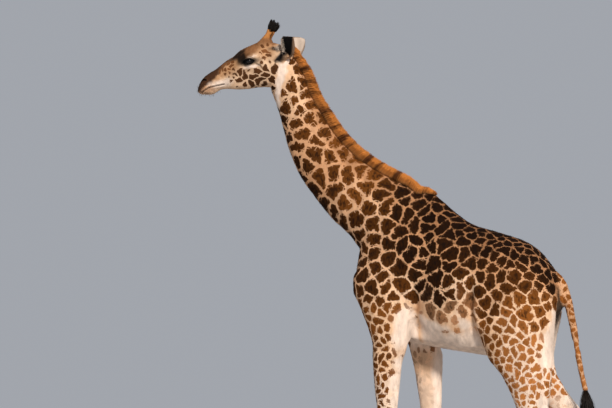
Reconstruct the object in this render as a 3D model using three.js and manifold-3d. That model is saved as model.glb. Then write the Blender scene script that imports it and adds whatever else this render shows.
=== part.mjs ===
// A life-size giraffe cow standing still, as a museum model.
//
// Millimetres, +Z up. The animal faces -Y, its left side is +X, and it stands on Z = 0 with the
// middle of its bounding box over the origin. Every part of the body is a closed solid of its own.
// Touching parts keep a thin gap.
//
// The body is skinned over rings: level rings down the legs, upright rings along the trunk and the
// head, and rings square to a curved axis up the neck, down the tail and along ears and hair.
// Each table below lists the stations of one part, and a smooth curve runs through every column.

import * as THREE from "three";
import { mergeVertices } from "three/addons/utils/BufferGeometryUtils.js";
import Module from "manifold-3d";

const wasm = await Module();
wasm.setup();

// ---------------------------------------------------------------- driving dimensions

const GAP = 0.3; // clearance between touching parts
const SIDES = { left: 1, right: -1 };

// Trunk: y, back height, belly height, half width, height of the widest point, power above, power below.
const TRUNK = [
  [-716, 2190, 2035, 50, 2110, 2.0, 2.0],
  [-690, 2290, 1930, 120, 2100, 2.0, 2.0],
  [-610, 2420, 1800, 182, 2090, 1.9, 2.0],
  [-480, 2560, 1700, 214, 2080, 1.7, 1.9],
  [-350, 2634, 1645, 232, 2060, 1.5, 1.8],
  [-215, 2655, 1622, 252, 2020, 1.4, 1.9],
  [-115, 2586, 1612, 270, 1990, 1.55, 2.0],
  [10, 2478, 1594, 288, 1970, 1.75, 2.1],
  [135, 2420, 1590, 294, 1980, 1.85, 2.1],
  [255, 2388, 1618, 282, 2010, 1.9, 2.0],
  [380, 2352, 1690, 256, 2050, 1.9, 2.0],
  [480, 2314, 1745, 226, 2060, 1.9, 2.0],
  [560, 2256, 1775, 192, 2040, 2.0, 2.0],
  [630, 2174, 1800, 150, 2000, 2.0, 2.0],
  [690, 2080, 1840, 100, 1960, 2.0, 2.0],
  [722, 1995, 1895, 44, 1945, 2.0, 2.0],
];
const TRUNK_RINGS = 23;
const TRUNK_SIDES = 24;
const UDDER = { y: 172, z: 1606, wide: 62, long: 70, high: 34 };

// Fore leg: height, y of the middle, x of the middle, half length, half width, waist behind the bone,
// and how far the back of the ring draws in towards the animal's middle.
const FORE_LEG = [
  [2420, -330, 104, 96, 40, 0, 0],
  [2300, -385, 124, 140, 58, 0, 0],
  [2170, -452, 146, 199, 78, 0, 0],
  [2040, -483, 160, 225, 92, 0, 0],
  [1900, -451, 170, 193, 94, 0, 0],
  [1770, -431, 176, 160, 90, 0, 0],
  [1645, -424, 178, 131, 80, 0, 0],
  [1520, -442, 178, 105, 69, 0.04, 0],
  [1400, -447, 177, 92, 61, 0.06, 0],
  [1225, -448, 174, 75, 53, 0.08, 0],
  [1050, -450, 172, 61, 47, 0.08, 0],
  [960, -450, 171, 63, 53, 0.04, 0],
  [895, -451, 170, 68, 60, 0, 0],
  [830, -447, 170, 60, 54, 0.06, 0],
  [760, -444, 170, 47, 42, 0.2, 0],
  [560, -445, 169, 42, 35, 0.28, 0],
  [330, -447, 168, 44, 38, 0.26, 0],
  [250, -450, 167, 57, 49, 0.12, 0],
  [200, -457, 167, 56, 49, 0.06, 0],
  [145, -478, 166, 49, 45, 0, 0],
  [95, -502, 166, 62, 58, 0, 0],
  [40, -510, 166, 66, 60, 0, 0],
];

// Hind leg, in the same columns.
const HIND_LEG = [
  [2290, 330, 118, 150, 60, 0, 40],
  [2200, 376, 132, 208, 92, 0, 55],
  [2060, 435, 142, 242, 116, 0, 62],
  [1900, 450, 150, 260, 127, 0, 60],
  [1760, 448, 158, 264, 120, 0, 50],
  [1640, 462, 164, 243, 106, 0, 36],
  [1540, 487, 168, 221, 93, 0.04, 24],
  [1445, 532, 170, 177, 82, 0.12, 12],
  [1335, 557, 171, 143, 70, 0.22, 0],
  [1225, 574, 172, 112, 59, 0.34, 0],
  [1120, 612, 172, 103, 50, 0.46, 0],
  [1040, 652, 172, 103, 49, 0.4, 0],
  [985, 676, 172, 96, 53, 0.22, 0],
  [925, 686, 172, 77, 56, 0.1, 0],
  [850, 688, 171, 58, 46, 0.18, 0],
  [700, 690, 170, 47, 38, 0.26, 0],
  [420, 688, 168, 43, 36, 0.28, 0],
  [315, 686, 167, 46, 40, 0.24, 0],
  [245, 683, 167, 58, 49, 0.12, 0],
  [195, 676, 166, 56, 49, 0.06, 0],
  [145, 655, 166, 49, 45, 0, 0],
  [95, 632, 166, 62, 57, 0, 0],
  [40, 624, 166, 66, 59, 0, 0],
];
const LEG_RINGS = 24;
const LEG_SIDES = 14;
const WAIST_AT = 0.38; // how far behind the middle the groove before the tendon lies, as a share
const WAIST_REACH = 0.34;

// How far behind the left leg the right one stands, by height. The right hind leg is more bent.
const FORE_STRIDE = [
  [2420, 0],
  [2200, 2],
  [2000, 14],
  [1850, 48],
  [1645, 114],
  [1440, 156],
  [1226, 174],
  [900, 188],
  [400, 204],
  [40, 214],
];
const HIND_STRIDE = [
  [2290, 0],
  [2060, -8],
  [1920, -24],
  [1780, -45],
  [1660, -82],
  [1516, -103],
  [1440, -86],
  [1350, -28],
  [1290, 32],
  [1224, 94],
  [1120, 126],
  [1000, 112],
  [850, 94],
  [420, 48],
  [40, 20],
];

// Heights at which the legs leave the trunk.
const ELBOW_CUT = 1645;
const STIFLE_CUT = 1640;

// Neck: y and z of the axis, half depth to the crest, half depth to the throat, half width.
const NECK = [
  [-180, 2190, 250, 250, 120],
  [-380, 2340, 285, 285, 168],
  [-511, 2462, 271, 274, 172],
  [-619, 2546, 236, 250, 150],
  [-742, 2640, 208, 236, 128],
  [-868, 2752, 187, 218, 113],
  [-985, 2890, 171, 197, 103],
  [-1092, 3068, 149, 161, 93],
  [-1164, 3235, 126, 132, 85],
  [-1212, 3370, 124, 138, 82],
  [-1268, 3500, 98, 104, 72],
];
const NECK_RINGS = 21;
const NECK_SIDES = 20;
const NECK_POWER = 2.15;
const CREST_NARROWING = 0.26; // the neck is narrower at the crest than at the throat

// Planes between trunk, neck and head, as y, z and the tilt of the normal above the horizon.
const NECK_BASE = { y: -511, z: 2465, tilt: 45 };
const POLL = { y: -1262, z: 3448, tilt: 34 };

// The head is modelled straight, then turned to the animal's left about an upright axis at the poll.
const HEAD_TURN = 12;
const HEAD_Y = -1242;

// Head: distance ahead of the poll axis, top height, bottom height, half width, height of the widest point,
// power above, power below.
const HEAD = [
  [-60, 3560, 3420, 58, 3490, 2.0, 2.0],
  [0, 3612, 3372, 78, 3500, 2.0, 2.0],
  [50, 3632, 3345, 90, 3508, 2.0, 1.9],
  [100, 3642, 3337, 97, 3512, 2.0, 1.8],
  [150, 3645, 3339, 99, 3512, 2.1, 1.7],
  [200, 3634, 3334, 97, 3512, 2.2, 1.65],
  [248, 3614, 3326, 86, 3504, 2.2, 1.7],
  [307, 3585, 3323, 69, 3480, 2.1, 1.8],
  [354, 3543, 3325, 61, 3452, 2.1, 1.9],
  [389, 3524, 3327, 57, 3436, 2.1, 1.9],
  [424, 3498, 3325, 54, 3418, 2.2, 2.0],
  [450, 3476, 3313, 53, 3404, 2.2, 2.1],
  [474, 3459, 3297, 53, 3390, 2.3, 2.2],
  [502, 3443, 3289, 54, 3374, 2.4, 2.3],
  [535, 3420, 3290, 54, 3354, 2.4, 2.4],
  [560, 3394, 3292, 48, 3340, 2.4, 2.4],
  [578, 3364, 3297, 34, 3328, 2.2, 2.2],
  [589, 3336, 3306, 14, 3320, 2.0, 2.0],
];
const HEAD_RINGS = 28;
const HEAD_SIDES = 22;

// Swellings and hollows on the sides of the head: name, distance ahead, height, reach along and up, push out.
const HEAD_FORMS = [
  ["brow", 225, 3558, 52, 26, 11],
  ["temple hollow", 120, 3570, 34, 30, -9],
  ["cheek", 118, 3415, 62, 60, 11],
  ["cheek bone", 250, 3468, 100, 16, 5],
  ["hollow before the eye", 318, 3512, 46, 26, -6],
  ["hollow above the mouth corner", 385, 3400, 46, 30, -5],
  ["nostril", 540, 3374, 30, 22, 8],
  ["upper lip", 548, 3318, 36, 14, 6],
  ["lower lip", 490, 3300, 40, 12, 4],
];

// Mouth line: distance ahead and height, from the corner of the mouth to the front lip.
const MOUTH = [
  [400, 3359],
  [430, 3353],
  [465, 3346],
  [508, 3336],
  [536, 3318],
  [556, 3305],
  [562, 3270],
];
const MOUTH_GROOVE = { width: 5, depth: 9 };
const JAW_HINGE = [120, 3392]; // where the lower jaw's upper edge ends, under the ear

const NOSTRIL = { ahead: 551, z: 3384, x: 48, long: 25, high: 8, deep: 15, tilt: 38 };

const EYE = { radius: 27, ahead: 227, z: 3510, x: 78, lid: 8, opening: 66, height: 37, tilt: 6 };

// Ear: share of the length, half width, half thickness, bulge of the front edge.
const EAR = [
  [0, 23, 20, 1],
  [0.12, 30, 23, -2],
  [0.33, 45, 24, -7],
  [0.5, 54, 21, 3],
  [0.67, 57, 17, 15],
  [0.8, 45, 12, 14],
  [0.9, 28, 9, 8],
  [1, 6, 4, 1],
];
const EAR_ROOT = { x: 66, ahead: 4, z: 3528 };
// The way each ear points from its root, as millimetres out, back and up.
const EAR_AIM = { left: [85, 78, 138], right: [85, 106, 131] };
const EAR_FACE = { out: 0.94, back: -0.34, up: -0.05 };
const EAR_WALL = 7;
const EAR_BEND = 8; // how far the tip curls back from the root's line

// Ossicones: height, distance ahead, x, half length, half width.
const OSSICONE = [
  [3585, 148, 40, 62, 36],
  [3643, 134, 42, 45, 29],
  [3660, 127, 43, 30, 24],
  [3680, 114, 44, 22, 20],
  [3696, 102, 45, 20, 19],
  [3724, 89, 47, 21, 20],
];
const OSSICONE_TUFT = { locks: 7, length: 44, width: 22, thick: 9, core: 18, lean: 30, spike: 32 };

// Tail: y and z of the axis, radius.
const TAIL = [
  [600, 2120, 52],
  [668, 2082, 44],
  [722, 2022, 37],
  [757, 1930, 30],
  [795, 1760, 26],
  [826, 1585, 22],
  [853, 1450, 19],
  [883, 1332, 20],
];
const TAIL_RINGS = 16;
const TAIL_SIDES = 10;
const TAIL_ROOT = { y: 712, z: 2046, tilt: 66 };
const TAIL_END = { y: 882, z: 1340, tilt: 76 };
const TAIL_TUFT = { locks: 12, length: 390, width: 32, thick: 15, core: 180 };

// Mane: height along its length, from the poll to the withers.
const MANE_HEIGHT = [
  [0, 26],
  [0.03, 44],
  [0.1, 62],
  [0.2, 75],
  [0.5, 78],
  [0.8, 74],
  [0.95, 66],
  [1, 38],
];
const MANE_PARTS = 4;
const MANE_LOCKS = 60;
const MANE_LOCK = { width: 46, thick: 11, sink: 22, lean: 24, splay: 9 };
const MANE_CORE = { share: 0.45, base: 17, top: 9, sink: 16 };
const MANE_END_Y = -168;
const MANE_ON_POLL = [
  [14, 3612],
  [-34, 3580],
];

const HOOF = { length: 98, width: 34, top: 0.72, cleft: 4, height: 84, slope: 0.36, toe: 16 };

const COLOURS = {
  coat: 0xa9713f,
  neck: 0xb5814f,
  pale: 0xe2cfb6,
  head: 0xb48a5f,
  ear: 0xd8c4a8,
  ossicone: 0xa8743c,
  mane: 0x9c5524,
  hair: 0x17130f,
  eye: 0x0f0b09,
  hoof: 0x3a3029,
};

// ---------------------------------------------------------------- curves through tables

// A curve through one column that doesn't overshoot its stations.
function columnAt(keys, values, key) {
  const last = keys.length - 1;
  const rising = keys[last] > keys[0];
  let i = 0;
  while (i < last - 1 && (rising ? key > keys[i + 1] : key < keys[i + 1])) i++;
  const slope = (k) => (values[k + 1] - values[k]) / (keys[k + 1] - keys[k]);
  const tangent = (k) => {
    if (k === 0) return slope(0);
    if (k === last) return slope(last - 1);
    const [before, after] = [slope(k - 1), slope(k)];
    return before * after <= 0 ? 0 : (2 * before * after) / (before + after);
  };
  const span = keys[i + 1] - keys[i];
  const t = (key - keys[i]) / span;
  const [t2, t3] = [t * t, t * t * t];
  return (
    (2 * t3 - 3 * t2 + 1) * values[i] +
    (t3 - 2 * t2 + t) * span * tangent(i) +
    (3 * t2 - 2 * t3) * values[i + 1] +
    (t3 - t2) * span * tangent(i + 1)
  );
}

// Every column of a table at a value of its first column.
function rowAt(table, key) {
  const keys = table.map((row) => row[0]);
  return table[0].map((_, column) =>
    columnAt(keys, table.map((row) => row[column]), key),
  );
}

// Evenly spread values from a table's first key to its last, drawn towards the stations by half.
function keysAlong(table, count) {
  const last = table.length - 1;
  const [from, to] = [table[0][0], table[last][0]];
  return Array.from({ length: count }, (_, i) => {
    const share = i / (count - 1);
    const place = share * last;
    const k = Math.min(Math.floor(place), last - 1);
    const byStation = table[k][0] + (table[k + 1][0] - table[k][0]) * (place - k);
    return (byStation + from + (to - from) * share) / 2;
  });
}

// A table whose rows begin with y and z, with the distance along the axis put before them.
function withDistance(table) {
  let distance = 0;
  return table.map((row, i) => {
    if (i) distance += Math.hypot(row[0] - table[i - 1][0], row[1] - table[i - 1][1]);
    return [distance, ...row];
  });
}

// A seeded random number from 0 to 1.
function seeded(seed) {
  let state = seed;
  return () => {
    state = (state * 1664525 + 1013904223) % 4294967296;
    return state / 4294967296;
  };
}

// ---------------------------------------------------------------- rings, skins and solids

const signedPower = (value, power) => Math.sign(value) * Math.abs(value) ** power;
const radians = THREE.MathUtils.degToRad;

// Points round an oval, as [across, along] shares from -1 to 1.
function ovalShares(count, power) {
  return Array.from({ length: count }, (_, i) => {
    const angle = ((i + 0.5) / count) * 2 * Math.PI;
    return [
      signedPower(Math.cos(angle), 2 / power),
      signedPower(Math.sin(angle), 2 / power),
    ];
  });
}

// A closed skin over rings of equally many points, with flat ends.
function skinOver(rings) {
  const sides = rings[0].length;
  const points = rings.flat();
  const faces = [];
  for (let r = 0; r + 1 < rings.length; r++) {
    for (let s = 0; s < sides; s++) {
      const a = r * sides + s;
      const b = r * sides + ((s + 1) % sides);
      const [c, d] = [b + sides, a + sides];
      if (points[a].distanceTo(points[c]) < points[b].distanceTo(points[d]))
        faces.push([a, b, c], [a, c, d]);
      else faces.push([a, b, d], [b, c, d]);
    }
  }
  const end = (rings.length - 1) * sides;
  for (let s = 1; s + 1 < sides; s++)
    faces.push([0, s + 1, s], [end, end + s, end + s + 1]);
  let volume = 0;
  for (const [a, b, c] of faces)
    volume += points[a].dot(new THREE.Vector3().crossVectors(points[b], points[c]));
  if (volume < 0) faces.forEach((face) => face.reverse());
  return new THREE.BufferGeometry()
    .setAttribute(
      "position",
      new THREE.Float32BufferAttribute(points.flatMap((p) => [p.x, p.y, p.z]), 3),
    )
    .setIndex(faces.flat());
}

// A geometry as a solid that can be joined and cut.
function solidOf(geometry) {
  const bare = geometry.clone();
  bare.deleteAttribute("normal");
  bare.deleteAttribute("uv");
  const merged = mergeVertices(bare, 1e-3);
  return new wasm.Manifold(
    new wasm.Mesh({
      numProp: 3,
      vertProperties: merged.attributes.position.array,
      triVerts: new Uint32Array(merged.index.array),
    }),
  );
}

const skinned = (rings) => solidOf(skinOver(rings));
const joined = (solids) => solids.reduce((whole, solid) => whole.add(solid));

// The largest closed body of a solid, as a geometry.
function geometryOf(solid) {
  const [largest] = solid.decompose().sort((a, b) => b.volume() - a.volume());
  const mesh = largest.getMesh();
  return new THREE.BufferGeometry()
    .setAttribute("position", new THREE.BufferAttribute(mesh.vertProperties, 3))
    .setIndex(new THREE.BufferAttribute(mesh.triVerts, 1));
}

// What lies on one side of a plane across the neck. side 1 keeps the head's side.
function beyond(solid, { y, z, tilt }, side) {
  const normal = [0, -Math.cos(radians(tilt)) * side, Math.sin(radians(tilt)) * side];
  return solid.trimByPlane(normal, normal[1] * y + normal[2] * z + GAP / 2);
}

const above = (solid, z) => solid.trimByPlane([0, 0, 1], z + GAP / 2);
const below = (solid, z) => solid.trimByPlane([0, 0, -1], GAP / 2 - z);

// A flat outline of y and z pairs, made into a slab of the given half width across the animal's middle.
function slab(outline, halfWidth) {
  const shape = new THREE.Shape(outline.map(([y, z]) => new THREE.Vector2(y, z)));
  const geometry = new THREE.ExtrudeGeometry(shape, {
    depth: 2 * halfWidth,
    bevelEnabled: false,
  });
  geometry.translate(0, 0, -halfWidth);
  // The outline's plane becomes y and z, and its depth becomes x.
  geometry.applyMatrix4(
    new THREE.Matrix4().makeBasis(
      new THREE.Vector3(0, 1, 0),
      new THREE.Vector3(0, 0, 1),
      new THREE.Vector3(1, 0, 0),
    ),
  );
  return solidOf(geometry);
}

// ---------------------------------------------------------------- trunk, neck and tail

// An upright ring: widest at zWide, with its own power above and below.
function uprightRing(place, [top, bottom, wide, zWide, powerAbove, powerBelow], sides, grow) {
  return Array.from({ length: sides }, (_, i) => {
    const angle = ((i + 0.5) / sides) * 2 * Math.PI;
    const [c, s] = [Math.cos(angle), Math.sin(angle)];
    const power = s > 0 ? powerAbove : powerBelow;
    const reach = (s > 0 ? top - zWide : zWide - bottom) + grow;
    return place(
      signedPower(c, 2 / power) * (wide + grow),
      zWide + signedPower(s, 2 / power) * reach,
    );
  });
}

function trunk(grow = 0) {
  const rings = keysAlong(TRUNK, TRUNK_RINGS).map((y) => {
    const [, ...shape] = rowAt(TRUNK, y);
    return uprightRing((x, z) => new THREE.Vector3(x, y, z), shape, TRUNK_SIDES, grow);
  });
  return skinned(rings);
}

// A low swelling between the thighs.
function udder() {
  const geometry = new THREE.SphereGeometry(1, 12, 8);
  geometry.scale(UDDER.wide, UDDER.long, UDDER.high);
  geometry.translate(0, UDDER.y, UDDER.z);
  return solidOf(geometry);
}

// The axis of a part in the animal's middle plane: a point, the way along and the way across.
function axisAt(table, distance) {
  const step = 4;
  const [, y, z, ...sizes] = rowAt(table, distance);
  const [, yBefore, zBefore] = rowAt(table, Math.max(distance - step, table[0][0]));
  const [, yAfter, zAfter] = rowAt(
    table,
    Math.min(distance + step, table[table.length - 1][0]),
  );
  const along = new THREE.Vector3(0, yAfter - yBefore, zAfter - zBefore).normalize();
  const across = new THREE.Vector3(0, along.z, -along.y);
  return { point: new THREE.Vector3(0, y, z), along, across, sizes };
}

const NECK_AXIS = withDistance(NECK);

function neck(grow = 0) {
  const rings = keysAlong(NECK_AXIS, NECK_RINGS).map((distance) => {
    const { point, across, sizes } = axisAt(NECK_AXIS, distance);
    const [toCrest, toThroat, wide] = sizes;
    return ovalShares(NECK_SIDES, NECK_POWER).map(([a, b]) => {
      const narrowing = 1 - CREST_NARROWING * (b > 0 ? b : b * 0.3);
      return point
        .clone()
        .addScaledVector(across, b * ((b > 0 ? toCrest : toThroat) + grow))
        .add(new THREE.Vector3(a * (wide * narrowing + grow), 0, 0));
    });
  });
  return skinned(rings);
}

const TAIL_AXIS = withDistance(TAIL);

function tail(grow = 0) {
  const rings = keysAlong(TAIL_AXIS, TAIL_RINGS).map((distance) => {
    const { point, across, sizes } = axisAt(TAIL_AXIS, distance);
    return ovalShares(TAIL_SIDES, 2).map(([a, b]) =>
      point
        .clone()
        .addScaledVector(across, b * (sizes[0] + grow))
        .add(new THREE.Vector3(a * (sizes[0] * 0.9 + grow), 0, 0)),
    );
  });
  return skinned(rings);
}

// ---------------------------------------------------------------- legs and hooves

// How far back a leg stands at a height, from a table of strides, or not at all.
const strideAt = (strides, z) => (strides ? rowAt(strides, z)[1] : 0);

// Level rings down a leg. Behind the middle the sides draw in to show the tendon.
function leg(table, side, strides) {
  const rings = keysAlong(table, LEG_RINGS).map((z) => {
    const [, y, x, long, wide, waist, toeIn] = rowAt(table, z);
    const back = strideAt(strides, z);
    return ovalShares(LEG_SIDES, 2.1).map(([a, b]) => {
      const drawnIn = 1 - waist * Math.exp(-(((a - WAIST_AT) / WAIST_REACH) ** 2));
      const inwards = toeIn * Math.max(0, a) ** 2;
      return new THREE.Vector3(
        side * (x + b * wide * drawnIn - inwards),
        y + back + a * long,
        z,
      );
    });
  });
  return skinned(rings);
}

// The sloping plane between pastern and hoof. keep 1 is the leg's side.
function atCoronet(solid, y, keep) {
  const length = Math.hypot(1, HOOF.slope);
  const normal = [0, (keep * HOOF.slope) / length, keep / length];
  return solid.trimByPlane(normal, normal[1] * y + normal[2] * HOOF.height + GAP / 2);
}

// Two claws with a cleft between them, joined at the heel.
function hoof(side, x, y) {
  const claw = (across) =>
    skinned(
      [0, 0.12, 0.5, 1, 1.5].map((share) => {
        const size = 1 - (1 - HOOF.top) * Math.min(share, 1.4);
        return ovalShares(12, 2.2).map(([a, b]) => {
          const narrow = b < 0 ? 1 - 0.35 * b * b : 1;
          return new THREE.Vector3(
            side * x + across * (HOOF.width + HOOF.cleft / 2) + a * HOOF.width * size * narrow,
            y - HOOF.toe * (1 - share) + b * HOOF.length * size,
            share * HOOF.height,
          );
        });
      }),
    );
  const heel = skinned(
    [26, 60, 130].map((z) =>
      ovalShares(8, 2.2).map(
        ([a, b]) => new THREE.Vector3(side * x + a * HOOF.width * 0.8, y + 26 + b * 34, z),
      ),
    ),
  );
  return atCoronet(joined([claw(1), claw(-1), heel]), y, -1);
}

// ---------------------------------------------------------------- head

const TURN = new THREE.Matrix4()
  .makeRotationZ(radians(HEAD_TURN))
  .setPosition(0, HEAD_Y, 0);

// A point of the straight head, put where the turned head has it.
const headPoint = (x, ahead, z) => new THREE.Vector3(x, -ahead, z).applyMatrix4(TURN);
const headWay = (out, back, up) =>
  new THREE.Vector3(out, back, up).transformDirection(TURN);

// The straight solid turned with the head.
const turned = (solid) => solid.rotate([0, 0, HEAD_TURN]).translate([0, HEAD_Y, 0]);

function skull(grow = 0) {
  const rings = keysAlong(HEAD, HEAD_RINGS).map((ahead) => {
    const [, ...shape] = rowAt(HEAD, ahead);
    const wide = shape[2];
    const place = (x, z) => {
      const push = HEAD_FORMS.reduce(
        (sum, [, at, height, along, up, out]) =>
          sum + out * Math.exp(-(((ahead - at) / along) ** 2) - ((z - height) / up) ** 2),
        0,
      );
      const share = Math.min(1, Math.abs(x) / (0.5 * wide));
      return headPoint(x + Math.sign(x) * push * share, ahead, z);
    };
    return uprightRing(place, shape, HEAD_SIDES, grow);
  });
  return skinned(rings);
}

// A band of the given height along the mouth line, right across the head.
function mouthBand(height) {
  const upper = MOUTH.map(([ahead, z]) => [-ahead - height * 0.35, z + height / 2]);
  const lower = MOUTH.map(([ahead, z]) => [-ahead + height * 0.35, z - height / 2]);
  return turned(slab([...upper, ...lower.reverse()], 200));
}

// Everything under the mouth line, back to the jaw's hinge.
function jawSpace(clearance) {
  const line = [JAW_HINGE, ...MOUTH].map(([ahead, z]) => [-ahead, z - clearance / 2]);
  const [, hingeZ] = JAW_HINGE;
  line[0][0] -= clearance / 2;
  const back = -JAW_HINGE[0] - clearance / 2;
  const front = -MOUTH[MOUTH.length - 1][0] + clearance / 2;
  return turned(
    slab([...line.map(([y, z]) => [Math.max(y, front), z]), [front, 3200], [back, 3200]], 300),
  ).trimByPlane([0, 0, -1], -hingeZ - 50);
}

const ball = (radius) => solidOf(new THREE.SphereGeometry(radius, 14, 10));

// Moves a solid to a place and direction on one side of the head.
function atEye(solid, side) {
  const at = headPoint(side * EYE.x, EYE.ahead, EYE.z);
  return solid.translate([at.x, at.y, at.z]);
}

// An almond-shaped opening, as the space that two wide discs share, pushed out sideways.
function lidOpening(side) {
  const half = EYE.opening / 2;
  const rise = EYE.height / 2;
  const radius = (half * half + rise * rise) / (2 * rise);
  const disc = (up) => {
    const geometry = new THREE.CylinderGeometry(radius, radius, 90, 40);
    geometry.rotateZ(Math.PI / 2);
    geometry.translate(side * 45, 0, up * (radius - rise));
    geometry.rotateX(radians(-EYE.tilt));
    return solidOf(geometry);
  };
  const straight = disc(1).intersect(disc(-1));
  return atEye(straight.rotate([0, 0, HEAD_TURN]), side);
}

// A slanting comma-shaped pit for each nostril.
function nostril(side) {
  const pit = new THREE.SphereGeometry(1, 10, 8);
  pit.scale(NOSTRIL.deep, NOSTRIL.long, NOSTRIL.high);
  pit.rotateX(radians(NOSTRIL.tilt));
  const at = headPoint(side * NOSTRIL.x, NOSTRIL.ahead, NOSTRIL.z);
  pit.rotateZ(radians(HEAD_TURN - side * 28));
  pit.translate(at.x, at.y, at.z);
  return solidOf(pit);
}

// A leaf-shaped cup on the side of the head, open outwards.
function ear(side, [out, back, up]) {
  const aim = headWay(side * out, back, up).normalize();
  const length = Math.hypot(out, back, up);
  const face = headWay(side * EAR_FACE.out, EAR_FACE.back, EAR_FACE.up);
  face.addScaledVector(aim, -face.dot(aim)).normalize();
  const width = new THREE.Vector3().crossVectors(aim, face).multiplyScalar(side);
  const root = headPoint(side * EAR_ROOT.x, EAR_ROOT.ahead, EAR_ROOT.z);
  const leaf = (shrink, shift, from) =>
    skinned(
      [0, 0.14, 0.3, 0.46, 0.62, 0.76, 0.88, 0.96, 1].map((step) => {
        const share = from + (1 - from) * step;
        const [, wide, thick, bulge] = rowAt(EAR, share);
        const middle = root
          .clone()
          .addScaledVector(aim, share * length - shrink * share * 0.6)
          .addScaledVector(width, -bulge)
          .addScaledVector(face, shift * Math.min(1, step * 3) - EAR_BEND * share * share);
        return ovalShares(12, 2).map(([a, b]) =>
          middle
            .clone()
            .addScaledVector(width, a * Math.max(wide - shrink, 1.5))
            .addScaledVector(face, b * Math.max(thick - shrink * 0.4, 1.5)),
        );
      }),
    );
  return leaf(0, 0, 0).subtract(leaf(EAR_WALL, EAR_WALL * 1.7, 0.2));
}

function ossicone(side) {
  const rings = OSSICONE.map(([z, ahead, x, long, wide]) =>
    ovalShares(12, 2).map(([a, b]) => headPoint(side * (x + b * wide), ahead + a * long, z)),
  );
  return skinned(rings);
}

// ---------------------------------------------------------------- hair

// A flat lock that tapers along its middle line and bends with it. Widths and thicknesses are half sizes.
function lock(points, flat, width, thick) {
  const last = points.length - 1;
  const rings = points.map((point, i) => {
    const along = points[Math.min(i + 1, last)]
      .clone()
      .sub(points[Math.max(i - 1, 0)])
      .normalize();
    const side = flat.clone().addScaledVector(along, -flat.dot(along)).normalize();
    const normal = new THREE.Vector3().crossVectors(along, side);
    const taper = Math.max(0.1, 1 - (i / last) ** 2.2);
    return [
      [1, 0],
      [0, 1],
      [-1, 0],
      [0, -1],
    ].map(([a, b]) =>
      point
        .clone()
        .addScaledVector(side, (a * width * taper) / 2)
        .addScaledVector(normal, (b * thick * taper) / 2),
    );
  });
  return skinned(rings);
}

// The crest's line from between the ears to the withers, as points on the skin.
function crestLine() {
  const start = NECK_AXIS[NECK_AXIS.length - 1][0] - 34;
  const end = NECK_AXIS[2][0];
  const points = MANE_ON_POLL.map(([ahead, z]) => headPoint(0, ahead, z));
  for (let i = 0; i <= 24; i++) {
    const { point, across, sizes } = axisAt(NECK_AXIS, start + ((end - start) * i) / 24);
    points.push(point.addScaledVector(across, sizes[0]));
  }
  const onTrunk = points[points.length - 1].y;
  for (let i = 1; i <= 3; i++) {
    const y = onTrunk + ((MANE_END_Y - onTrunk) * i) / 3;
    points.push(new THREE.Vector3(0, y, rowAt(TRUNK, y)[1]));
  }
  return new THREE.CatmullRomCurve3(points);
}

const CREST = crestLine();

// The skin's point at a share of the crest, the way along it and the way out of it.
function crestAt(share) {
  const point = CREST.getPointAt(share);
  const along = CREST.getTangentAt(share);
  return { point, along, out: new THREE.Vector3(0, -along.z, along.y) };
}

const maneHeight = (share) => rowAt(MANE_HEIGHT, share)[1];

// A low core along a stretch of the crest, with locks that stand up, lean back and overlap.
function manePart(part) {
  const [from, to] = [part / MANE_PARTS, (part + 1) / MANE_PARTS];
  const margin = 0.002;
  const core = skinned(
    Array.from({ length: 8 }, (_, i) => {
      const share = from + margin + ((to - from - 2 * margin) * i) / 7;
      const { point, out } = crestAt(share);
      const height = maneHeight(share) * MANE_CORE.share;
      return [
        [MANE_CORE.base, -MANE_CORE.sink],
        [MANE_CORE.top, height],
        [-MANE_CORE.top, height],
        [-MANE_CORE.base, -MANE_CORE.sink],
      ].map(([x, up]) =>
        point.clone().addScaledVector(out, up).add(new THREE.Vector3(x, 0, 0)),
      );
    }),
  );
  const random = seeded(31 + part);
  const locks = MANE_LOCKS / MANE_PARTS;
  const pieces = Array.from({ length: locks }, (_, i) => {
    const share = from + ((to - from) * (i + 0.5)) / locks;
    const { point, along, out } = crestAt(share);
    const height = maneHeight(share) * (0.9 + 0.16 * random());
    const side = i % 2 ? 1 : -1;
    const splay = side * Math.tan(radians(MANE_LOCK.splay * (0.6 + 0.8 * random())));
    const lean = Math.tan(radians(MANE_LOCK.lean * (0.8 + 0.4 * random())));
    const line = [-MANE_LOCK.sink / height, 0.3, 0.7, 1].map((up) =>
      point
        .clone()
        .addScaledVector(out, up * height)
        .addScaledVector(along, lean * height * up * Math.abs(up) * 0.8)
        .add(new THREE.Vector3(side * (i % 4 < 2 ? 3 : 6) + splay * height * up, 0, 0)),
    );
    return lock(line, along, MANE_LOCK.width, MANE_LOCK.thick);
  });
  // A stretch never reaches past its own end planes.
  const whole = joined([core, ...pieces]);
  return [from, to].reduce((kept, share, end) => {
    if (share === 0 || share === 1) return kept;
    const { point, along } = crestAt(share);
    const normal = along.clone().multiplyScalar(end ? -1 : 1);
    return kept.trimByPlane(normal.toArray(), normal.dot(point) + GAP / 2);
  }, whole);
}

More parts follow.
